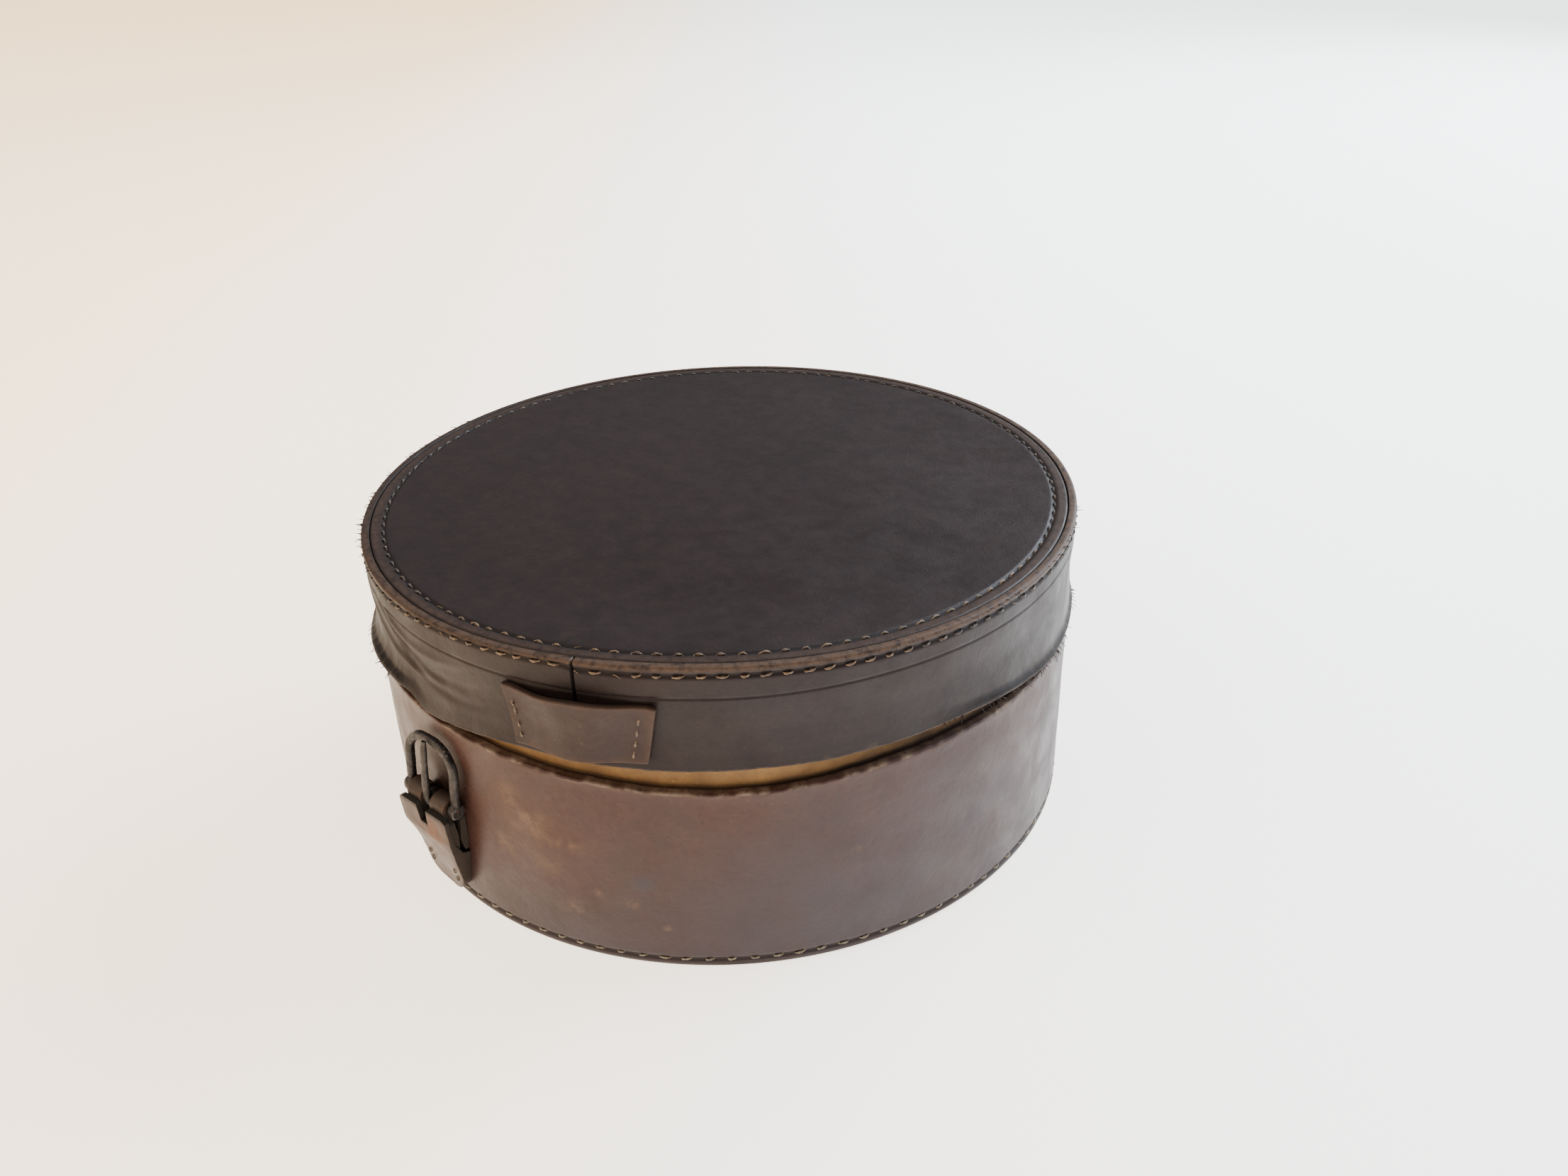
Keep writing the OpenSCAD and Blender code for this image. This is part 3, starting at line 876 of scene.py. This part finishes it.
class Stitches:
    """Collects two-ply stitches into one piece."""

    def __init__(self, seed):
        self.verts, self.faces, self.tone = [], [], []
        self.rng = random.Random(seed)

    def tube(self, path, radius, tone):
        """A closed tube along the path, its radius given at each point."""
        self.faces += rod_faces(len(path), PLY_SIDES, start=len(self.verts))
        for point, ahead, r in zip(path, headings(path), radius):
            side = ahead.orthogonal().normalized()
            other = ahead.cross(side)
            for k in range(PLY_SIDES):
                a = 2 * math.pi * k / PLY_SIDES
                self.verts.append(point + r * (side * math.cos(a) + other * math.sin(a)))
                self.tone.append(tone)

    def stitch(self, middle, along, out, length, tone, crest=0.2):
        """A twisted pair of plies that rises from one hole and dips into the next."""
        across = along.cross(out)
        phase = self.rng.uniform(0, 6.3)
        for ply in (0, math.pi):
            path, radius = [], []
            for i in range(PLY_RINGS):
                t = i / (PLY_RINGS - 1)
                rise = math.sin(math.pi * t) ** 0.55
                turn = phase + ply + 2 * math.pi * PLY_TURNS * t
                point = middle + along * (t - 0.5) * length + out * (crest * rise - 0.45 * (1 - rise))
                path.append(point + PLY_OUT * (across * math.cos(turn) + out * math.sin(turn)))
                radius.append(PLY_R * (0.6 + 0.4 * rise))
            self.tube(path, radius, tone)

    def loose_end(self, start, direction, length, radius=0.12):
        """A wisp of thread that stands out of the seam."""
        bend = Vector([self.rng.uniform(-1, 1) for _ in range(3)]) * 0.2
        path, radii_along = [], []
        for i in range(8):
            t = i / 7
            sag = Vector((0, 0, -0.25 * length * t * t))
            path.append(start + direction * length * t + bend * length * t * t + sag)
            radii_along.append(radius * (1 - 0.5 * i / 7))
        self.tube(path, radii_along, 0.2)

    def finish(self, node, body, material):
        """Makes the piece, named after the CAD row that it replaces."""
        name = node.replace("_thread", "_stitches")
        add_piece(
            name, self.verts, self.faces, body, "linen_thread", [node], material, {"worn": self.tone},
            smooth_angle=60,
        )


def stitch_count(node):
    """How many stitches the CAD row has, from its vertices: eight to a stitch."""
    return round(len({tuple(np.round(p, 2)) for p in node_points(node)}) / 8)


def seam_tone(rng, angle, bright_from, bright_to):
    """Fresh thread on the stretch that was handled least, dull elsewhere."""
    inside = band(angle, bright_from - 15, bright_from, bright_to, bright_to + 25)
    return min(1.0, max(0.0, 0.8 - 0.65 * inside + rng.uniform(-0.25, 0.35)))


# The share of a stitch's pitch that shows, its slant in degrees, and how deep a wall's row lies
STITCH_SHARE = 0.52
SADDLE_SLANT = 6
SEAM_SUNK = 0.25


def row_place(r, height, up=0):
    """Where a round row lies: on a wall, or on a panel that faces up (1) or down (-1).

    At each angle it gives the row's point, the direction out of the leather and the one along the row.
    """

    def place(angle):
        out = Vector((0, 0, up)) if up else polar(1, angle, 0)
        return polar(r, angle, height(angle)), out, polar(1, angle + 90, 0)

    return place


def build_seam(node, body, seed, material, place, fresh, lost):
    """A round row of stitches. fresh is the stretch with the freshest thread, lost the share come out."""
    count = stitch_count(node)
    row = Stitches(seed)
    for i in range(count):
        angle = (i + 0.5) * 360 / count + row.rng.uniform(-0.12, 0.12)
        middle, out, along = place(angle)
        length = 2 * math.pi * BODY_R / count * STITCH_SHARE * row.rng.uniform(0.72, 1.14)
        slant = math.radians(SADDLE_SLANT + row.rng.uniform(-7, 7))
        turned = along * math.cos(slant) + out.cross(along) * math.sin(slant)
        tone = seam_tone(row.rng, turn_between(angle, 0), *fresh)
        if row.rng.random() < lost:
            row.loose_end(middle, (along + 0.35 * out).normalized(), row.rng.uniform(1.2, 2.6))
        else:
            row.stitch(middle, turned, out, length, tone)
    row.finish(node, body, material)


def build_seams():
    base_outer = row_place(BODY_R - SEAM_SUNK, lambda angle: BASE_SEAM_Z)
    base_inner = row_place(BODY_R - SEAM_INSET, lambda angle: 0.78, -1)
    lid_outer_row = row_place(LID_R - SEAM_SUNK, lid_seam_height)
    lid_inner = row_place(LID_R - SEAM_INSET, lambda angle: BOX_H + lid_rise(angle) - 0.3, 1)
    for seam in (
        ("base_seam_outer_thread", "body", 3, BASE_THREAD, base_outer, (-180, 160), 0.02),
        ("base_seam_inner_thread", "body", 4, BASE_THREAD, base_inner, (-200, -190), 0),
        ("lid_seam_outer_thread", "lid", 5, THREAD, lid_outer_row, (0, 62), 0.05),
        ("lid_seam_inner_thread", "lid", 6, THREAD, lid_inner, (10, 95), 0.05),
    ):
        build_seam(*seam)


# Stretches of the lid where fibres of torn leather stand out: (from, to, count, is on the lower edge)
TORN = ((80, 140, 70, True), (-44, -8, 22, True), (-78, -14, 44, False), (60, 128, 34, False))
FIBRE_R = 0.13


def build_fibres():
    """Wisps of leather along the lid's torn lower edge and its worn rim."""
    wisps = Stitches(50)
    rng = wisps.rng
    for start, end, count, is_low in TORN:
        for _ in range(count):
            angle = rng.uniform(start, end)
            low = lid_edge_height(angle)
            z = low + 0.25 if is_low else BOX_H + lid_rise(angle) - 0.3
            root = polar(lid_outer(angle, z, low) - 0.25, angle, z)
            way = polar(1, angle, 0) + polar(1, angle + 90, 0) * rng.uniform(-1.2, 1.2)
            way += Vector((0, 0, rng.uniform(-0.9, 0.1) if is_low else rng.uniform(-0.2, 0.8)))
            wisps.loose_end(root, way.normalized(), rng.uniform(0.8, 2.0), FIBRE_R)
    marks = {"worn": [0.3] * len(wisps.verts), "grime_and_shade": [0.3] * len(wisps.verts)}
    add_piece("lid_leather_fibres", wisps.verts, wisps.faces, "lid", "lid_leather", (), LID_LEATHER, marks)


# ---------------------------------------------------------------- the keeper

KEEPER_Z = KEEPER_LOW.z
KEEPER_H = KEEPER_HIGH.z - KEEPER_LOW.z
KEEPER_T = 1.7
KEEPER_TOP_HALF = (-19.3, 20.2)
KEEPER_FOOT_HALF = (-17.0, 17.2)
KEEPER_STITCH_TOP = (-17.0, 16.4)
KEEPER_STITCH_FOOT = (-14.6, 13.4)
KEEPER_LIFT = 2.5


def between(pair_top, pair_foot, t):
    """The pair's two values at a height t, from 0 at the foot to 1 at the top."""
    return [foot + (top - foot) * t for top, foot in zip(pair_top, pair_foot)]


def keeper_lift(u, t):
    """How far the keeper's inside stands off the lid wall, u millimetres along the wall from its middle."""
    left, right = between(KEEPER_STITCH_TOP, KEEPER_STITCH_FOOT, t)
    inside = band(u, left + 0.4, left + 15, right - 13, right - 0.4)
    tab = 0.6 * smooth(right + 0.8, right + 3.5, u) * t
    return KEEPER_LIFT * inside * (0.85 + 0.15 * t) + tab + 0.12


def on_lid(u, r, z):
    return polar(r, LID_TURN + math.degrees(u / LID_R), z)


def keeper_base(u, z):
    """Radius of the wall under the keeper."""
    angle = LID_TURN + math.degrees(u / LID_R)
    return max(lid_outer(angle, z, lid_edge_height(angle)), LID_R - 0.75)


def build_keeper():
    columns, rows = 61, 25
    layers, worn, grime_and_shade = ([], []), [], []
    for layer in (0, 1):
        for i in range(rows):
            t = i / (rows - 1)
            left, right = between(KEEPER_TOP_HALF, KEEPER_FOOT_HALF, t)
            z_mid = KEEPER_Z + 0.15 + t * (KEEPER_H - 0.3)
            for j in range(columns):
                s = j / (columns - 1)
                u = left + (right - left) * s
                z = z_mid + 0.2 * grain((u, z_mid, 0), 9, 70) * abs(2 * t - 1)
                z += t * (1.3 * smooth(-9, -19, u) + 1.7 * bump_at(u, 1, 12) + 0.7 * smooth(8, 20, u))
                r = keeper_base(u, z) + keeper_lift(u, t) + layer * KEEPER_T
                r += layer * 0.12 * grain((u, z, 0), 5, 71)
                layers[layer].append(on_lid(u, r, z))
                rim = max(bump_at(t, 0, 0.06), bump_at(t, 1, 0.06), bump_at(s, 0, 0.03), bump_at(s, 1, 0.03))
                worn.append(0.4 * rim)
                # The keeper's inner face, against the wall, is painted dark as shade inside the loop
                grime_and_shade.append(0.7 if layer == 0 else 0.25 * bump_at(s, 0, 0.05))
    add_slab(
        "keeper_leather", layers, grid_faces(rows, columns),
        "lid", "lid_leather", ["keeper"], KEEPER_LEATHER, grime_and_shade, worn, bevel=0.4, segments=3,
    )
    build_keeper_row(0, "keeper_left_thread")
    build_keeper_row(1, "keeper_right_thread")


def build_keeper_row(side, node):
    """Four thick stitches that hold one end of the keeper."""
    row = Stitches(30 + side)
    count = 4
    for k in range(count):
        t = 0.12 + 0.78 * (k + row.rng.uniform(0.25, 0.5)) / count
        u = between(KEEPER_STITCH_TOP, KEEPER_STITCH_FOOT, t)[side]
        z = KEEPER_Z + t * KEEPER_H
        out = on_lid(u, 1, 0)
        r = keeper_base(u, z) + keeper_lift(u, t) + KEEPER_T
        lean = (KEEPER_STITCH_TOP[side] - KEEPER_STITCH_FOOT[side]) / KEEPER_H
        side_way = polar(1, LID_TURN + math.degrees(u / LID_R) + 90, 0)
        along = (Vector((0, 0, 1)) + lean * side_way).normalized()
        tone = row.rng.uniform(0.2, 0.8)
        row.stitch(on_lid(u, r - 0.05, z), along, out, row.rng.uniform(1.9, 2.8), tone, crest=0.25)
    row.finish(node, "lid", THREAD)


# ---------------------------------------------------------------- the buckle and its leather

# The bar's own axes: x along the bar, out away from the wall, z up. The buckle leans back in them
BAR_ALONG = Vector(SWING["axis"]).normalized()
BAR_TURN = math.atan2(BAR_ALONG.y, BAR_ALONG.x)
BAR_TILT = -math.asin(BAR_ALONG.z)
BAR_AXES = Matrix.Rotation(BAR_TURN, 3, "Z") @ Matrix.Rotation(BAR_TILT, 3, "Y")
FRAME_LEAN = 3
LEAN_AXES = BAR_AXES @ Matrix.Rotation(math.radians(-FRAME_LEAN), 3, "X")

# The buckle's frame
BUCKLE_HALF = 10.2
BUCKLE_H = 20
RAIL_W = 2.7
FRAME_T = 2.2
CORNER_R = 8.8
BAR_R = 1.5
KNUCKLE_R = 2.2
SECTION_SIDES = 20

# The chape: heights are from the bar
BORE_R = 1.6
CHAPE_T = 1.5
FOLD_R = 3.08
CHAPE_HALF = 7.2
TAIL_HALF = 8.9
SHOULDER_Z = -2.6
TAIL_Z = -15
TAIL_OUT = -0.68
BEND_Z = -10.6
BEND_OUT = 1.9
SLOT_HALF = 1.9
SLOT_FOOT = -7
SLOT_SHARE = 0.26

# The cover. COVER_LINE is its face's middle line as (height, distance out)
COVER_HALF = 9.3
COVER_TOP = -0.9
COVER_FOOT = -31.4
COVER_LINE = ((-31.4, -1.5), (-26, -0.8), (-21, 0.4), (-15, 2.1), (-10.6, 3.6), (-0.9, 4.7))
COVER_TWIST = 0.09
COVER_TAPER = 1.1
COVER_CORNER = 5.5
NOTCH_HALF = 1.7
NOTCH_DEEP = 5.6
COVER_ROW_X = 5.8
COVER_ROW_Z = (-26.5, -23.1)


def at_bar(x, out, z):
    return BAR + BAR_AXES @ Vector((x, -out, z))


def at_lean(x, out, z):
    return BAR + LEAN_AXES @ Vector((x, -out, z))


OUTWARD = BAR_AXES @ Vector((0, -1, 0))
UPWARD = BAR_AXES @ Vector((0, 0, 1))
FRAME_FRONT = LEAN_AXES @ Vector((0, -1, 0))


def wall_out(x, z):
    """Where the body wall's face lies at (x, z) of the bar's frame."""
    start = at_bar(x, 0, z)
    reach = start.x * OUTWARD.x + start.y * OUTWARD.y
    return -reach + math.sqrt(reach**2 - start.x**2 - start.y**2 + BODY_R**2)


def chape_front(z):
    """The face of the folded strap's front tail."""
    if z < BEND_Z:
        return TAIL_OUT + (BEND_OUT - TAIL_OUT) * smooth(TAIL_Z - 1, BEND_Z + 1, z)
    return BEND_OUT + (FOLD_R - BEND_OUT) * (z - BEND_Z) / -BEND_Z


def chape_lines():
    """Steps along the folded strap: (is front, height, angle over the bar or None)."""
    down = [*np.linspace(TAIL_Z, BEND_Z, 7), *np.linspace(BEND_Z, 0, 14)[1:-1]]
    steps = [(True, z, None) for z in down]
    steps += [(True, 0, math.pi * k / 16) for k in range(17)]
    steps += [(False, z, None) for z in reversed(down)]
    return steps


def chape_place(step, x):
    """Outer and inner (out, z) of the strap at one step, x along the bar."""
    is_front, z, angle = step
    if angle is not None:
        turn = math.cos(angle), math.sin(angle)
        return [(r * turn[0], r * turn[1]) for r in (FOLD_R, BORE_R)]
    wall = wall_out(x, z)
    free = chape_front(z) - wall - 2 * CHAPE_T
    packed = 0.5 * free * (1 - 0.75 * smooth(TAIL_Z + 1, -1.5 * BAR_R, z))
    bore = math.sqrt(max(0.0, BORE_R**2 - z * z))
    if is_front:
        outer = chape_front(z)
        return [(outer, z), (max(bore, outer - CHAPE_T - packed + 0.05), z)]
    outer = -FOLD_R + (wall + 0.03 + FOLD_R) * smooth(0, 3, -z)
    return [(outer, z), (min(-bore, wall + CHAPE_T + packed - 0.05), z)]


def build_chape():
    steps = chape_lines()
    shares = [*np.linspace(-1, -0.3, 8), -SLOT_SHARE, 0, SLOT_SHARE, *np.linspace(0.3, 1, 8)]
    layers, grime_and_shade, worn = ([], []), [], []
    places = []
    for step in steps:
        height = chape_place(step, 0)[0][1]
        wide = 1 - smooth(SHOULDER_Z - 1.2, SHOULDER_Z + 0.6, height)
        half = CHAPE_HALF + (TAIL_HALF - CHAPE_HALF) * wide
        for share in shares:
            beside_slot = (abs(share) - SLOT_SHARE) / (1 - SLOT_SHARE) * (half - SLOT_HALF)
            x = math.copysign(SLOT_HALF + beside_slot, share) if share else 0
            for layer, (out, z) in zip(layers, chape_place(step, x)):
                lump = 0.12 * grain((x, out, z), 4, 80)
                layer.append(at_bar(x, out + lump, z + lump))
            places.append((abs(share), height))
            edge = max(bump_at(abs(x), half, 0.7), bump_at(abs(x), SLOT_HALF, 0.6))
            worn.append(0.3 * smooth(-3, 1, height) * edge)
            # Darker below the bar as painted shade under the fold and in the cover's pocket; the fold itself
            # is dirty
            grime_and_shade.append(0.9 - 0.35 * smooth(-2, 1, height))
    faces = []
    for face in grid_faces(len(steps), len(shares)):
        in_slot = all(places[k][0] <= SLOT_SHARE and places[k][1] > SLOT_FOOT for k in face)
        if not in_slot:
            faces.append(face)
    add_slab(
        "chape_leather", layers, faces,
        "body", "body_leather", ["chape"], CHAPE_LEATHER, grime_and_shade * 2, worn * 2, bevel=0.3, segments=2,
    )


def cover_face(x, z):
    """The cover's face: sewn to the wall at its foot and bulging over the strap's tails above."""
    out = float(np.interp(z, [p[0] for p in COVER_LINE], [p[1] for p in COVER_LINE]))
    out += COVER_TWIST * x * smooth(-8, -20, z) if z < -8 else 0
    return out - 0.25 * smooth(0.75, 1, abs(x) / COVER_HALF)


def cover_back(x, z):
    wall = wall_out(x, z)
    on_tails = chape_front(max(z, TAIL_Z)) + 0.12
    return wall + (on_tails - wall) * smooth(TAIL_Z - 1.2, TAIL_Z - 0.2, z)


def cover_half(z):
    """Half the cover's width at a height: round at the foot."""
    low = max(0.0, COVER_FOOT + COVER_CORNER - z)
    taper = COVER_TAPER * (1 - smooth(COVER_FOOT, -10, z))
    return COVER_HALF - taper - COVER_CORNER + math.sqrt(max(0.0, COVER_CORNER**2 - low**2))


def cover_top(x):
    notch = 1 - smooth(NOTCH_HALF - 0.4, NOTCH_HALF + 0.3, abs(x))
    ends = smooth(COVER_HALF - 2.2, COVER_HALF, abs(x)) ** 2
    return COVER_TOP - NOTCH_DEEP * notch - 1.3 * ends + 0.3 * grain((x, 0, 0), 5, 81)


def build_cover():
    corner_share = COVER_CORNER / (COVER_TOP - COVER_FOOT)
    heights = [corner_share * (1 - math.cos(math.pi / 2 * k / 12)) for k in range(13)]
    heights += [*np.linspace(corner_share, 1, 40)[1:]]
    near_notch = np.linspace(-NOTCH_HALF - 0.6, NOTCH_HALF + 0.6, 17)
    xs = sorted({*np.linspace(-COVER_HALF, COVER_HALF, 29), *near_notch})
    layers, grime_and_shade, worn = ([], []), [], []
    for number, layer in enumerate(layers):
        for t in heights:
            for x0 in xs:
                z = COVER_FOOT + (cover_top(x0) - COVER_FOOT) * t
                x = x0 * cover_half(z) / COVER_HALF
                lump = 0.14 * grain((x, z, 0), 6, 82) + 0.06 * grain((x, z, 0), 2, 84)
                out = cover_back(x, z) if number else cover_face(x, z) + lump
                wave = 0.2 * grain((0, z, 0), 5, 83) * abs(x0) / COVER_HALF
                layer.append(at_bar(x + wave, out, z))
                # The back face is painted dark as shade against the wall and tails; the top edge is painted
                # dark as the shade of the gap under the ears; the side edges and foot are dark burnished
                # edges
                side = bump_at(abs(x0), COVER_HALF, 0.5)
                rim = max(0.7 * side, 0.95 * bump_at(z, cover_top(x0), 1.2), 0.7 * bump_at(t, 0, 0.02))
                grime_and_shade.append(0.95 if number else rim)
                worn.append(0 if number else 0.7 * bump_at(z, -8, 5) * bump_at(x, 3, 4))
    faces = grid_faces(len(heights), len(xs))
    add_slab(
        "chape_cover_leather", layers, faces,
        "body", "body_leather", ["chape_cover"], CHAPE_LEATHER, grime_and_shade, worn, bevel=0.4, segments=3,
    )
    build_cover_row(-1, "cover_left_thread")
    build_cover_row(1, "cover_right_thread")


def build_cover_row(side, node):
    """The stitches that hold one side of the cover's foot."""
    row = Stitches(40 + side)
    for z in COVER_ROW_Z:
        x = side * COVER_ROW_X
        middle = at_bar(x, cover_face(x, z) + 0.15, z)
        row.stitch(middle, UPWARD, OUTWARD, 2.3, 0.75)
    row.finish(node, "body", BASE_THREAD)


def squircle(angle, wide, thick, power=2.8):
    """A point of a rounded rectangle."""
    c, s = math.cos(angle), math.sin(angle)
    size = (abs(c) ** power + abs(s) ** power) ** (-1 / power)
    return c * size * wide / 2, s * size * thick / 2


def sweep(path, widths, thicks, ups=None):
    """Sweeps a rounded rectangle along a path: its width across the path, its thickness along ups."""
    verts = []
    ups = ups or [FRAME_FRONT] * len(path)
    for point, ahead, up, wide, thick in zip(path, headings(path), ups, widths, thicks):
        up = (up - ahead * up.dot(ahead)).normalized()
        across = ahead.cross(up)
        for k in range(SECTION_SIDES):
            u, v = squircle(2 * math.pi * k / SECTION_SIDES, wide, thick)
            verts.append(point + across * u + up * v)
    return verts, rod_faces(len(path), SECTION_SIDES)


def forge(name, parts, body, node, grain_depth, voxel=0.2):
    """Melts overlapping closed parts into one forged piece and roughens it."""
    verts, faces = [], []
    for part_verts, part_faces in parts:
        faces += [tuple(k + len(verts) for k in face) for face in part_faces]
        verts += part_verts
    piece = add_piece(name, verts, faces, body, "black_iron", [node], IRON)
    add_modifier(piece, "REMESH", mode="VOXEL", voxel_size=voxel * MM, use_smooth_shade=True)
    add_modifier(piece, "SMOOTH", factor=0.5, iterations=5)
    seen = bpy.context.evaluated_depsgraph_get()
    mesh = bpy.data.meshes.new_from_object(piece.evaluated_get(seen))
    piece.modifiers.clear()
    piece.data = mesh
    moved = []
    for vertex in mesh.vertices:
        point = vertex.co / MM
        push = grain_depth * (grain(point, 2.6, 90) + 0.5 * grain(point, 0.9, 91))
        moved += [*(vertex.co + vertex.normal * push * MM)]
    mesh.vertices.foreach_set("co", moved)
    mesh.update()
    return piece


def frame_line():
    """Middle line of the frame's rails, from knuckle to knuckle over the top, as (x, z) at the bar."""
    half = BUCKLE_HALF - RAIL_W / 2
    bend = CORNER_R - RAIL_W / 2
    top = BUCKLE_H - RAIL_W / 2
    straight = half - bend

    def arc(middle, start):
        turns = (start - math.pi / 2 * k / 12 for k in range(13))
        return [(middle + bend * math.cos(a), top - bend + bend * math.sin(a)) for a in turns]

    line = [(-half, z) for z in np.linspace(0, top - bend, 10, endpoint=False)]
    line += arc(-straight, math.pi)
    line += [(x, top) for x in np.linspace(-straight, straight, 4)[1:-1]]
    line += arc(straight, math.pi / 2)
    return line + [(half, z) for z in np.linspace(top - bend, 0, 11)[1:]]


def build_buckle():
    line = frame_line()
    path = [at_lean(x, 0, z) for x, z in line]
    widths = [RAIL_W * (1 + 0.06 * grain((x, z, 0), 6, 92)) - 0.1 for x, z in line]
    thicks = [FRAME_T * (1 + 0.08 * grain((z, x, 0), 5, 93)) for x, z in line]
    parts = [sweep(path, widths, thicks)]
    half = BUCKLE_HALF - RAIL_W / 2
    bar = [at_lean(x, 0, 0) for x in np.linspace(-half, half, 15)]
    parts.append(sweep(bar, [2 * BAR_R] * 15, [2 * BAR_R] * 15))
    for side in (-1, 1):
        xs = np.linspace(-RAIL_W / 2 + 0.1, RAIL_W / 2 - 0.1, 7)
        sizes = [2 * KNUCKLE_R * (1 - 0.12 * (abs(x) / RAIL_W * 2) ** 3) for x in xs]
        knuckle = [at_lean(side * half + x, 0, 0) for x in xs]
        parts.append(sweep(knuckle, sizes, sizes))
    forge("buckle_frame_iron", parts, "buckle", "buckle_frame", 0.08)


# The prong's loop round the bar, and its shank: (size at the bar, loss on its way)
LOOP_R = 2.12
LOOP_W = 2.9
LOOP_T = 1.05
SHANK_W = (2.4, 0.5)
SHANK_T = (1.7, 0.3)
SHANK_BOW = 0.45


def build_prong():
    turns = [2 * math.pi * k / 28 for k in range(-2, 31)]
    loop = [at_lean(0, LOOP_R * math.cos(a), LOOP_R * math.sin(a)) for a in turns]
    hoop = sweep(loop, [LOOP_W] * len(loop), [LOOP_T] * len(loop), [(p - BAR).normalized() for p in loop])
    shank, widths, thicks = [], [], []
    length = BUCKLE_H - 0.7
    for t in np.arange(25) / 24:
        bow = SHANK_BOW * math.sin(math.pi * t)
        out = 1.95 + 0.25 * t + bow * (1 - 0.6 * t) - 0.15 * smooth(0.9, 1, t)
        shank.append(at_lean(0, out, 0.2 + (length - 0.2) * t))
        tip = smooth(0.88, 1, t)
        widths.append(SHANK_W[0] - SHANK_W[1] * t - 0.4 * tip)
        thicks.append(SHANK_T[0] - SHANK_T[1] * t - 0.3 * tip)
    rod = sweep(shank, widths, thicks)
    forge("buckle_prong_iron", [hoop, rod], "prong", "buckle_prong", 0.05, voxel=0.16)


build_walls()
build_panels()
build_seams()
build_fibres()
build_keeper()
build_chape()
build_cover()
build_buckle()
build_prong()

# ---------------------------------------------------------------- stage, lights and camera


CAMERA_AZIMUTH = 50


def from_camera(right, away, up):
    """A point in metres from the box's foot: to the camera's right, away from it, and up."""
    a = math.radians(CAMERA_AZIMUTH)
    x = right * math.cos(a) - away * math.sin(a)
    return Vector((x, right * math.sin(a) + away * math.cos(a), up))


def build_stage():
    bpy.ops.mesh.primitive_plane_add(size=8, location=(0, 0, -0.0002))
    floor = bpy.context.active_object
    floor.name = "floor"
    n = Nodes("pale_table_painted_glow")
    colour = n.mix(n.noise(300, 2), rgb(236, 232, 226), rgb(242, 240, 236))
    right = from_camera(1, 0, 0)
    across = n.add("VectorMath", {0: n.where, 1: right}, operation="DOT_PRODUCT").outputs["Value"]
    # The floor glows as painted light, warm on the left and cool on the right, and lights the box from below
    glow = n.mix(n.span(across, -0.45, 0.3), (1.0, 0.66, 0.3, 1), (0.95, 0.98, 1.0, 1))
    lit = n.finish(Base_Color=colour, Roughness=0.9, Emission_Color=glow, Emission_Strength=2.6)
    floor.data.materials.append(lit)


def add_light(name, place, aim, size, power, colour):
    data = bpy.data.lights.new(name, "AREA")
    data.shape = "RECTANGLE"
    data.size, data.size_y = size
    data.energy = power
    data.color = colour
    lamp = bpy.data.objects.new(name, data)
    lamp.location = place
    lamp.rotation_mode = "QUATERNION"
    lamp.rotation_quaternion = (Vector(aim) - Vector(place)).to_track_quat("-Z", "Y")
    bpy.context.scene.collection.objects.link(lamp)


def build_lights():
    world = bpy.data.worlds.new("room")
    world.use_nodes = True
    background = world.node_tree.nodes["Background"]
    background.inputs["Color"].default_value = (0.86, 0.88, 0.9, 1)
    background.inputs["Strength"].default_value = 0.45
    bpy.context.scene.world = world
    middle = (0, 0, 0.06)
    add_light("warm_left", from_camera(-1.3, -0.5, 1.1), middle, (1.2, 1.2), 20, (1.0, 0.8, 0.58))
    add_light("window_right", from_camera(1.3, 0.7, 0.9), middle, (1.6, 1.2), 80, (0.8, 0.89, 1.0))
    add_light("overhead", from_camera(0.0, 0.3, 1.8), middle, (1.8, 1.8), 12, (0.94, 0.97, 1.0))


CAMERA_ELEVATION = 35.5
CAMERA_DISTANCE = 0.4345
CAMERA_LENS = 30.1
CAMERA_TURN = -2.51
CAMERA_TILT = 6.26
CAMERA_ROLL = 3.42


def build_camera():
    """A camera that looks at the box's foot, then is turned, tilted up and rolled about its own axes."""
    data = bpy.data.cameras.new("camera")
    data.lens = CAMERA_LENS
    data.sensor_width = 36
    data.clip_start = 0.01
    camera = bpy.data.objects.new("camera", data)
    bpy.context.scene.collection.objects.link(camera)
    e = math.radians(CAMERA_ELEVATION)
    place = from_camera(0, -CAMERA_DISTANCE * math.cos(e), CAMERA_DISTANCE * math.sin(e))
    camera.location = place
    look = (-place).to_track_quat("-Z", "Y")
    for axis, degrees in (((0, 1, 0), CAMERA_TURN), ((1, 0, 0), CAMERA_TILT), ((0, 0, 1), -CAMERA_ROLL)):
        look = look @ Quaternion(axis, math.radians(degrees))
    camera.rotation_mode = "QUATERNION"
    camera.rotation_quaternion = look
    bpy.context.scene.camera = camera


build_stage()
build_lights()
build_camera()
